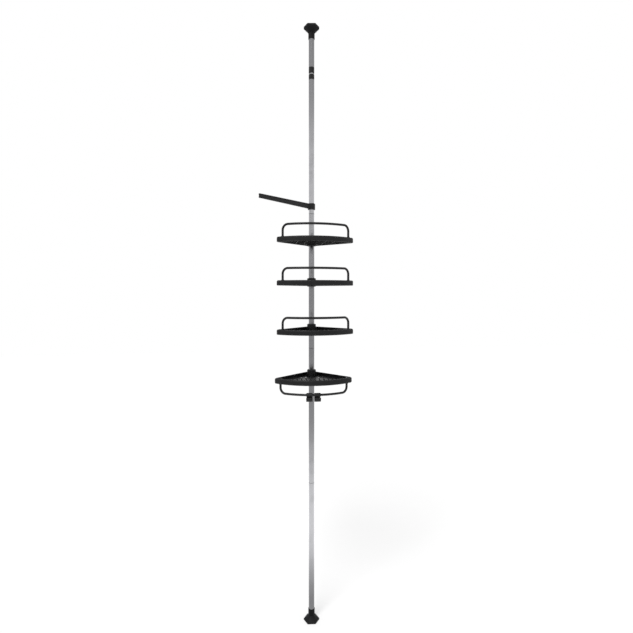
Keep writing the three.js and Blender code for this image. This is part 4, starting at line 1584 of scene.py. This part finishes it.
    def rail(self) -> bpy.types.Object:
        """Draws the bent rail."""
        sizes = {"Radius": self.rail_radius, "Sides": self.rail_sides, "Finish": BLACK_COAT.material()}
        return grown(wire(f"rail_{self.number}_rod", [self.rail_points()]), rod_tree(), sizes)

    def screw(self) -> bpy.types.Object:
        """Draws one pan-head screw with a cross recess, its head downwards on a standing rail.

        Returns:
            The screw.
        """
        head, shank, head_top = self.screw_head_radius, self.screw_radius, self.boss_recess - TUBE.gap
        foot, tip = head_top - self.screw_head_height, self.leg_seat + self.screw_grip
        corners = [(0, foot, 0), (head, foot, 1.4), (head, head_top, 0.2)]
        corners += [(shank, head_top, 0), (shank, tip, 0.6), (0, tip, 0)]
        outline = [(radius, self.way(height), soft) for radius, height, soft in corners]
        screw = Shell().turned(outline, steps=self.screw_steps).piece("screw")
        narrow, short = self.cross_taper
        width, length = self.cross_width, self.cross_reach
        levels = ((-1.0, width, length), (self.cross_depth, width * narrow, length * short))
        cutter = Shell()
        for turn in (0.0, 90.0):
            rings = []
            for depth, across, reach in levels:
                half, height = across / 2, self.way(foot + depth)
                plan = [(-reach, -half), (reach, -half), (reach, half), (-reach, half)]
                rings.append([standing(0, turn) @ Vector((x, y, height)) for x, y in plan])
            cutter.skin(rings)
        tool = cutter.piece("cross_recess")
        cut = screw.modifiers.new("recess", "BOOLEAN")
        cut.operation, cut.solver, cut.object, cut.use_self = "DIFFERENCE", "EXACT", tool, True
        plain_mesh(screw)
        discard(tool)
        return screw

    def screws(self) -> bpy.types.Object:
        """Draws both screws of the rail.

        Returns:
            The piece.
        """
        screw = self.screw()
        mesh = bpy.data.meshes.new("legs")
        mesh.from_pydata([(side.value * self.leg[0], self.leg[1], 0.0) for side in Side], [], [])
        screws = link(f"rail_screws_{self.number}", mesh)
        values = {"Screw": screw, "Seed": self.number, "Finish": ZINC_PLATE.material()}
        grown(screws, fastener_tree(), values)
        plain_mesh(screws)
        discard(screw)
        return screws

    def build(self) -> None:
        """Builds and dresses the tray, rail, screws and grip."""
        number, place, body = self.number, self.place(), f"shelf_{self.number}"
        self.grip.build()
        dress(self.rim(), place, BLACK_ABS, body, f"tray_{number}")
        on_floor = place @ Matrix.Translation((0, 0, self.floor_underside))
        dress(self.floor(), on_floor, BLACK_ABS, body)
        dress(self.ribs(), place, BLACK_ABS, body)
        dress(self.hub(), place, BLACK_ABS, body)
        dress(self.bosses(), place, BLACK_ABS, body)
        dress(self.rail(), place, BLACK_COAT, body, f"rail_{number}")
        nodes = [f"rail_screw_{number}_{side.word}" for side in Side]
        dress(self.screws(), place, ZINC_PLATE, body, *nodes)


# Towel arm and hooks


@dataclass
class TowelArm:
    """The swinging arm: a hub on its own grip, a flat tapering bar and an end cap."""

    swing: float = 219.0  # degrees from +X, seen from above
    hub_radius: float = 16.5
    hub_height: float = 24.0
    hub_round: float = 1.2
    reach: float = 302.0
    bar_height: float = 23.0
    tip_height: float = 17.5
    bar_thickness: float = 8.0
    bar_corner: float = 1.6
    bar_wall: float = 1.2
    groove_depth: float = 1.0
    groove_height: float = 11.0
    groove_round: float = 0.35
    stub_reach: float = 26.0
    tenon_length: float = 18.0
    cap_thickness: float = 5.0
    cap_round: float = 1.5
    cap_steps: int = 6
    end_round: float = 0.25
    root_overlap: float = 1.2  # how far the stub starts inside the hub's side
    root_reach: float = 6.0  # how far the stub's root is thickened beyond that side
    root_growth: float = 0.6
    root_steps: int = 8

    @property
    def grip(self) -> SplitGrip:
        """The grip that carries the arm."""
        walls = {"foot_wall": 1.6, "top_wall": 1.0, "flange_radius": 15.8, "flange_height": 2.6}
        return SplitGrip("arm_grip", self.hub_height, **walls)

    def section(self, x: float, growth: float = 0.0, inset: float = 0.0) -> list[Vector]:
        """Draws the bar's section across it, with a groove in both faces.

        Args:
            x: How far out along the arm.
            growth: How much thicker it is than the bar, as a share.
            inset: How far inside the bar's faces it lies.

        Returns:
            Its points, on the tapering arm.
        """
        high, thick, middle = self.bar_height / 2, self.bar_thickness / 2, self.hub_height / 2
        groove, deep, soft = self.groove_height / 2, self.groove_depth, self.groove_round
        upper = [(thick, high, self.bar_corner), (thick, groove + deep, soft), (thick - deep, groove, soft)]
        right = upper + [(y, -z, radius) for y, z, radius in reversed(upper)]
        left = [(-y, -z, radius) for y, z, radius in right]
        share = 1 - (1 - self.tip_height / self.bar_height) * x / self.reach
        top = middle + high
        points = []
        for y, z in filleted(right + left):
            across, up = y - math.copysign(inset, y), z - math.copysign(inset, z)
            points.append(Vector((x, across * (1 + growth), top - (top - (middle + up)) * share)))
        return points

    def tenon(self, start: float, end: float) -> list[list[Vector]]:
        """Draws the tenon that a neighbour pushes into the hollow bar.

        Args:
            start: Where it starts along the arm.
            end: Where its soft end lies.

        Returns:
            Its rings.
        """
        inset = self.bar_wall + TUBE.gap
        soft_from = end - math.copysign(1.0, end - start)
        levels = ((start, inset), (soft_from, inset), (end, inset + 0.5))
        return [self.section(x, inset=depth) for x, depth in levels]

    def hub(self) -> bpy.types.Object:
        """Draws the hub with the stub that carries the bar.

        Returns:
            The piece.
        """
        radius, height, soft, stub = self.hub_radius, self.hub_height, self.hub_round, self.stub_reach
        shell = Shell().turned([
            (self.grip.hub_bore(0), 0, 0.4), (radius, 0, soft),
            (radius, height, soft), (self.grip.hub_bore(height), height, 0.4),
        ])
        rings = []
        for share in (i / self.root_steps for i in range(self.root_steps + 1)):
            x = radius - self.root_overlap + (self.root_reach + self.root_overlap) * share
            rings.append(self.section(x, growth=self.root_growth * (1 - share) ** 2))
        shell.skin([*rings, self.section(stub - 0.3), self.section(stub, inset=0.3)])
        shell.skin(self.tenon(stub - 2.0, stub + self.tenon_length))
        return shell.piece("towel_arm_hub_moulding")

    def bar(self) -> bpy.types.Object:
        """Draws the hollow bar.

        Returns:
            The piece.
        """
        wall, soft, start = self.bar_wall, self.end_round, self.stub_reach + TUBE.gap
        end = self.reach - self.cap_thickness - TUBE.gap
        outer = [(start, soft), (start + soft, 0.0), (end - soft, 0.0), (end, soft)]
        rings = [self.section(x, inset=inset) for x, inset in [*outer, (end, wall), (start, wall)]]
        return Shell().skin(rings, looped=True).piece("towel_arm_bar_extrusion")

    def cap(self) -> bpy.types.Object:
        """Draws the rounded end cap with its tenon.

        Returns:
            The piece.
        """
        foot, soft, brow = self.reach - self.cap_thickness, self.end_round, self.cap_round
        rings = [self.section(foot, inset=soft), self.section(foot + soft)]
        for x, z in arc((0, 0), brow, 0, QUARTER, self.cap_steps):
            rings.append(self.section(self.reach - brow + z, inset=brow - x))
        tenon = self.tenon(foot + 1.5, foot - TUBE.gap - self.tenon_length)
        return Shell().skin(rings).skin(tenon).piece("towel_arm_cap_moulding")

    def build(self) -> None:
        """Builds and dresses the arm and its grip."""
        self.grip.build()
        place = standing(foot_of("towel_arm_hub"), self.swing)
        dress(self.hub(), place, BLACK_ABS, "towel_arm", "towel_arm_hub")
        dress(self.bar(), place, BLACK_ABS, "towel_arm", "towel_arm_bar")
        dress(self.cap(), place, BLACK_ABS, "towel_arm", "towel_arm_cap")


@dataclass
class SlidingHook:
    """A hook that clips over the hanging rail and curls up in front."""

    side: Side
    angle: float  # degrees round the front arc
    shelf: Shelf
    width: float = 25.0
    thickness: float = 3.0
    stem: float = 17.0
    curl: float = 8.5
    lip: float = 7.0
    clearance: float = 0.5
    clip_turn: float = 215.0  # degrees round the rail
    edge_round: float = 0.9
    edge_steps: int = 4
    clip_steps: int = 28
    curl_steps: int = 24
    width_steps: int = 14
    stem_steps: int = 6
    lip_steps: int = 3
    end_steps: int = 6

    def middle_line(self) -> list[Vector]:
        """Draws the strip's middle line.

        Returns:
            Its points, outwards along x and upwards along y.
        """
        clip = self.shelf.rail_radius + self.clearance + self.thickness / 2
        turn, stem, tip_x = math.radians(self.clip_turn), self.stem, 2 * self.curl - clip
        points = arc((0, 0), clip, math.pi - turn, math.pi, self.clip_steps)
        points += [(-clip, -stem * i / self.stem_steps) for i in range(1, self.stem_steps)]
        points += arc((self.curl - clip, -stem), self.curl, math.pi, math.tau, self.curl_steps)
        points += [(tip_x, self.lip * i / self.lip_steps - stem) for i in range(1, self.lip_steps + 1)]
        return [Vector(point) for point in points]

    def outline(self, inset: float) -> list[Vector]:
        """Draws the strip's outline.

        Args:
            inset: How far inside the strip's faces it lies.

        Returns:
            Its points, down one face and back up the other, with round ends.
        """
        middle = self.middle_line()
        last = len(middle) - 1
        half = self.thickness / 2 - inset
        faces: tuple[list[Vector], list[Vector]] = ([], [])
        for i, point in enumerate(middle):
            along = (middle[min(i + 1, last)] - middle[max(i - 1, 0)]).normalized()
            across = Vector((-along.y, along.x))
            for face, sign in zip(faces, (-1, 1)):
                face.append(point + across * sign * half)
        ends = []
        for tip, inner in ((middle[last], middle[last - 1]), (middle[0], middle[1])):
            out = (tip - inner).normalized()
            across = Vector((-out.y, out.x))
            turns = [math.pi * (j / self.end_steps - 0.5) for j in range(1, self.end_steps)]
            ends.append([tip + out * math.cos(t) * half + across * math.sin(t) * half for t in turns])
        return [*faces[0], *ends[0], *reversed(faces[1]), *ends[1]]

    def layers(self) -> list[Flat]:
        """Lists the slices across the hook's width.

        Returns:
            How far across each lies and how far its outline is drawn in.
        """
        half, soft = self.width / 2, self.edge_round
        turns = [QUARTER * i / self.edge_steps for i in range(self.edge_steps + 1)]
        edge = [(-half + soft * (1 - math.cos(t)), soft * (1 - math.sin(t))) for t in turns]
        straight = (self.width - 2 * soft) / self.width_steps
        flat = [(-half + soft + straight * i, 0.0) for i in range(1, self.width_steps)]
        return [*edge, *flat, *((-across, inset) for across, inset in reversed(edge))]

    def build(self) -> None:
        """Builds and dresses the hook, bent to the rail's arc."""
        circle, shelf, rings = self.shelf.leg_circle, self.shelf, []
        for across, inset in self.layers():
            turn = -across / circle
            flat = [(circle + at.x, at.y) for at in self.outline(inset)]
            rings.append([Vector((r * math.sin(turn), -r * math.cos(turn), z)) for r, z in flat])
        node = f"hook_{self.side.word}"
        hook = Shell().skin(rings).piece(f"{node}_moulding")
        centre = Matrix.Translation((0, shelf.corner_y, -shelf.rail_drop))
        place = shelf.place() @ centre @ standing(0, self.angle)
        dress(hook, place, BLACK_ABS, node, node)


# Studio


@dataclass
class Studio:
    """The floor, the pale surroundings, the main light and the camera."""

    ambient: float = 0.62
    cove_glow: float = 1.2  # of the painted reflection, a bright band above the horizon, over white, seen only in reflections
    cove_band: tuple[float, ...] = (0.08, 0.17, 0.28, 0.41)  # sines of the angle above the horizon
    sun_strength: float = 2.0
    sun_turn: tuple[float, float, float] = (38.0, 0.0, -32.0)  # degrees
    sun_spread: float = 24.0  # degrees
    floor_half: float = 9.0  # metres
    floor_drop: float = 0.0004  # metres below the object's foot
    floor_colour: str = "#bcbcbc"
    floor_glow: float = 0.46
    pool_glow: float = 1.8  # of the painted pool of light on the floor round the pole, over white, seen only in reflections
    pool_band: tuple[float, ...] = (0.1, 0.75, 0.8, 3.2)  # metres from the pole
    camera_distance: float = 1.98365
    camera_aside: float = -0.2562
    camera_height: float = 1.464
    camera_turn: float = -8.0  # degrees
    lens: float = 25.42
    sensor: float = 36.0
    shift: float = -0.0387

    def brightness(
        self,
        tree: bpy.types.NodeTree,
        plain: Flat,
        value: bpy.types.NodeSocket,
        band: tuple[float, ...],
        glow: float,
    ) -> bpy.types.Node:
        """Chooses a brightness by what a ray is for, and adds a painted patch of light that only
        reflections show.

        Args:
            tree: The tree that asks.
            plain: Brightness for the rays that light the object, and for camera, glossy and
                transmission rays.
            value: What the painted patch of light is measured along.
            band: Where the patch starts, is full, starts to fade and ends.
            glow: What the painted patch adds in reflections.

        Returns:
            The node that gives the brightness.
        """
        start, full, fade, end = band
        rise, fall = (
            add_node(
                tree,
                MAP_RANGE,
                {"Value": value, "From Min": low, "From Max": high, "To Min": before, "To Max": after},
                interpolation_type="SMOOTHSTEP",
            )
            for low, high, before, after in ((start, full, 0.0, glow), (fade, end, glow, 0.0))
        )
        ray = add_node(tree, "ShaderNodeLightPath").outputs
        glossy = ray["Is Glossy Ray"]
        seen = add_node(tree, MATH, {0: ray["Is Camera Ray"], 1: glossy}, operation="MAXIMUM")
        shown = add_node(tree, MATH, {0: seen, 1: ray["Is Transmission Ray"]}, operation="MAXIMUM")
        base = add_node(tree, MAP_RANGE, {"Value": shown, "To Min": plain[0], "To Max": plain[1]})
        # The patch is painted light that only glossy rays see; over white, a camera would show it as white
        # too, but eaten into thin edges.
        patch = add_node(tree, MATH, {0: rise, 1: fall}, operation="MINIMUM")
        return add_node(tree, MATH, {0: patch, 1: glossy, 2: base}, operation="MULTIPLY_ADD")

    def pale_world(self) -> None:
        """Lights the scene evenly; the camera sees white, and reflections also show a painted bright band
        that lights nothing.
        """
        world = bpy.data.worlds.new("pale_room")
        world.use_nodes = True
        tree = world.node_tree
        tree.nodes.clear()
        place = add_node(tree, "ShaderNodeTexCoord").outputs["Generated"]
        up = add_node(tree, "ShaderNodeSeparateXYZ", {0: place}).outputs["Z"]
        # Painted reflection: a bright band above the horizon, which only reflections show.
        strength = self.brightness(tree, (self.ambient, 1.0), up, self.cove_band, self.cove_glow)
        glow = add_node(tree, "ShaderNodeBackground", {"Color": WHITE, "Strength": strength})
        add_node(tree, "ShaderNodeOutputWorld", {"Surface": glow})
        bpy.context.scene.world = world

    def floor(self) -> None:
        """Lays a pale floor that keeps the object's shadow and runs out into the white; reflections also
        show a painted pool of light on it round the pole.
        """
        half, low = self.floor_half, -self.floor_drop
        mesh = bpy.data.meshes.new("studio_floor")
        corners = [(-half, -half, low), (half, -half, low), (half, half, low), (-half, half, low)]
        mesh.from_pydata(corners, [], [(0, 1, 2, 3)])
        material = bpy.data.materials.new("paper_white_matt")
        material.use_nodes = True
        tree = material.node_tree
        tree.nodes.clear()
        place = add_node(tree, "ShaderNodeTexCoord").outputs["Object"]
        away = add_node(tree, VECTOR_MATH, {0: place}, operation="LENGTH").outputs["Value"]
        # Painted pool of light round the pole, which only reflections show, on top of the floor's even
        # glow.
        strength = self.brightness(tree, (0.0, self.floor_glow), away, self.pool_band, self.pool_glow)
        paper = add_node(tree, "ShaderNodeBsdfDiffuse", {"Color": linear(self.floor_colour)})
        light = add_node(tree, "ShaderNodeEmission", {"Color": WHITE, "Strength": strength})
        both = add_node(tree, "ShaderNodeAddShader", {0: paper, 1: light})
        add_node(tree, "ShaderNodeOutputMaterial", {"Surface": both})
        mesh.materials.append(material)
        link("studio_floor", mesh)

    def main_light(self) -> None:
        """Hangs the broad, soft main light on the left."""
        lamp = bpy.data.lights.new("main_light", "SUN")
        lamp.energy = self.sun_strength
        lamp.angle = math.radians(self.sun_spread)
        link("main_light", lamp).rotation_euler = [math.radians(turn) for turn in self.sun_turn]

    def camera(self) -> None:
        """Sets up the camera where the photograph was taken from: level, and a little to the left."""
        lens = bpy.data.cameras.new("camera")
        lens.lens = self.lens
        lens.sensor_width = self.sensor
        lens.shift_y = self.shift
        camera = link("camera", lens)
        camera.location = (self.camera_aside, -self.camera_distance, self.camera_height)
        camera.rotation_euler = (math.pi / 2, 0, math.radians(self.camera_turn))
        bpy.context.scene.camera = camera

    def build(self) -> None:
        """Sets up everything round the object."""
        bpy.context.scene.view_settings.view_transform = "Standard"
        self.camera()
        self.pale_world()
        self.floor()
        self.main_light()
        log.info("studio: floor, surroundings, main light and camera")


def main() -> None:
    """Builds the sub-assemblies in order, from the floor up."""
    logging.basicConfig(level=logging.INFO, format="%(name)s: %(message)s")
    Studio().build()
    Bell(End.FLOOR, "pole", turn=-6.0, pad_thickness=2.0, socket_depth=38.0).build()
    PoleSections().build()
    TelescopicHead().build()
    ceiling = {"pad_thickness": 7.5, "socket_depth": 41.0, "plunger_hole": 4.0}
    Bell(End.CEILING, "head", turn=-8.0, **ceiling).build()
    shelves = [Shelf(number, RailWay.STANDING) for number in (1, 2, 3)]
    lowest = Shelf(4, RailWay.HANGING, turn=-3.5)
    for shelf in (*shelves, lowest):
        shelf.build()
    TowelArm().build()
    for side, angle in ((Side.LEFT, -5.2), (Side.RIGHT, 3.0)):
        SlidingHook(side, angle, lowest).build()


if __name__ == "__main__":
    main()
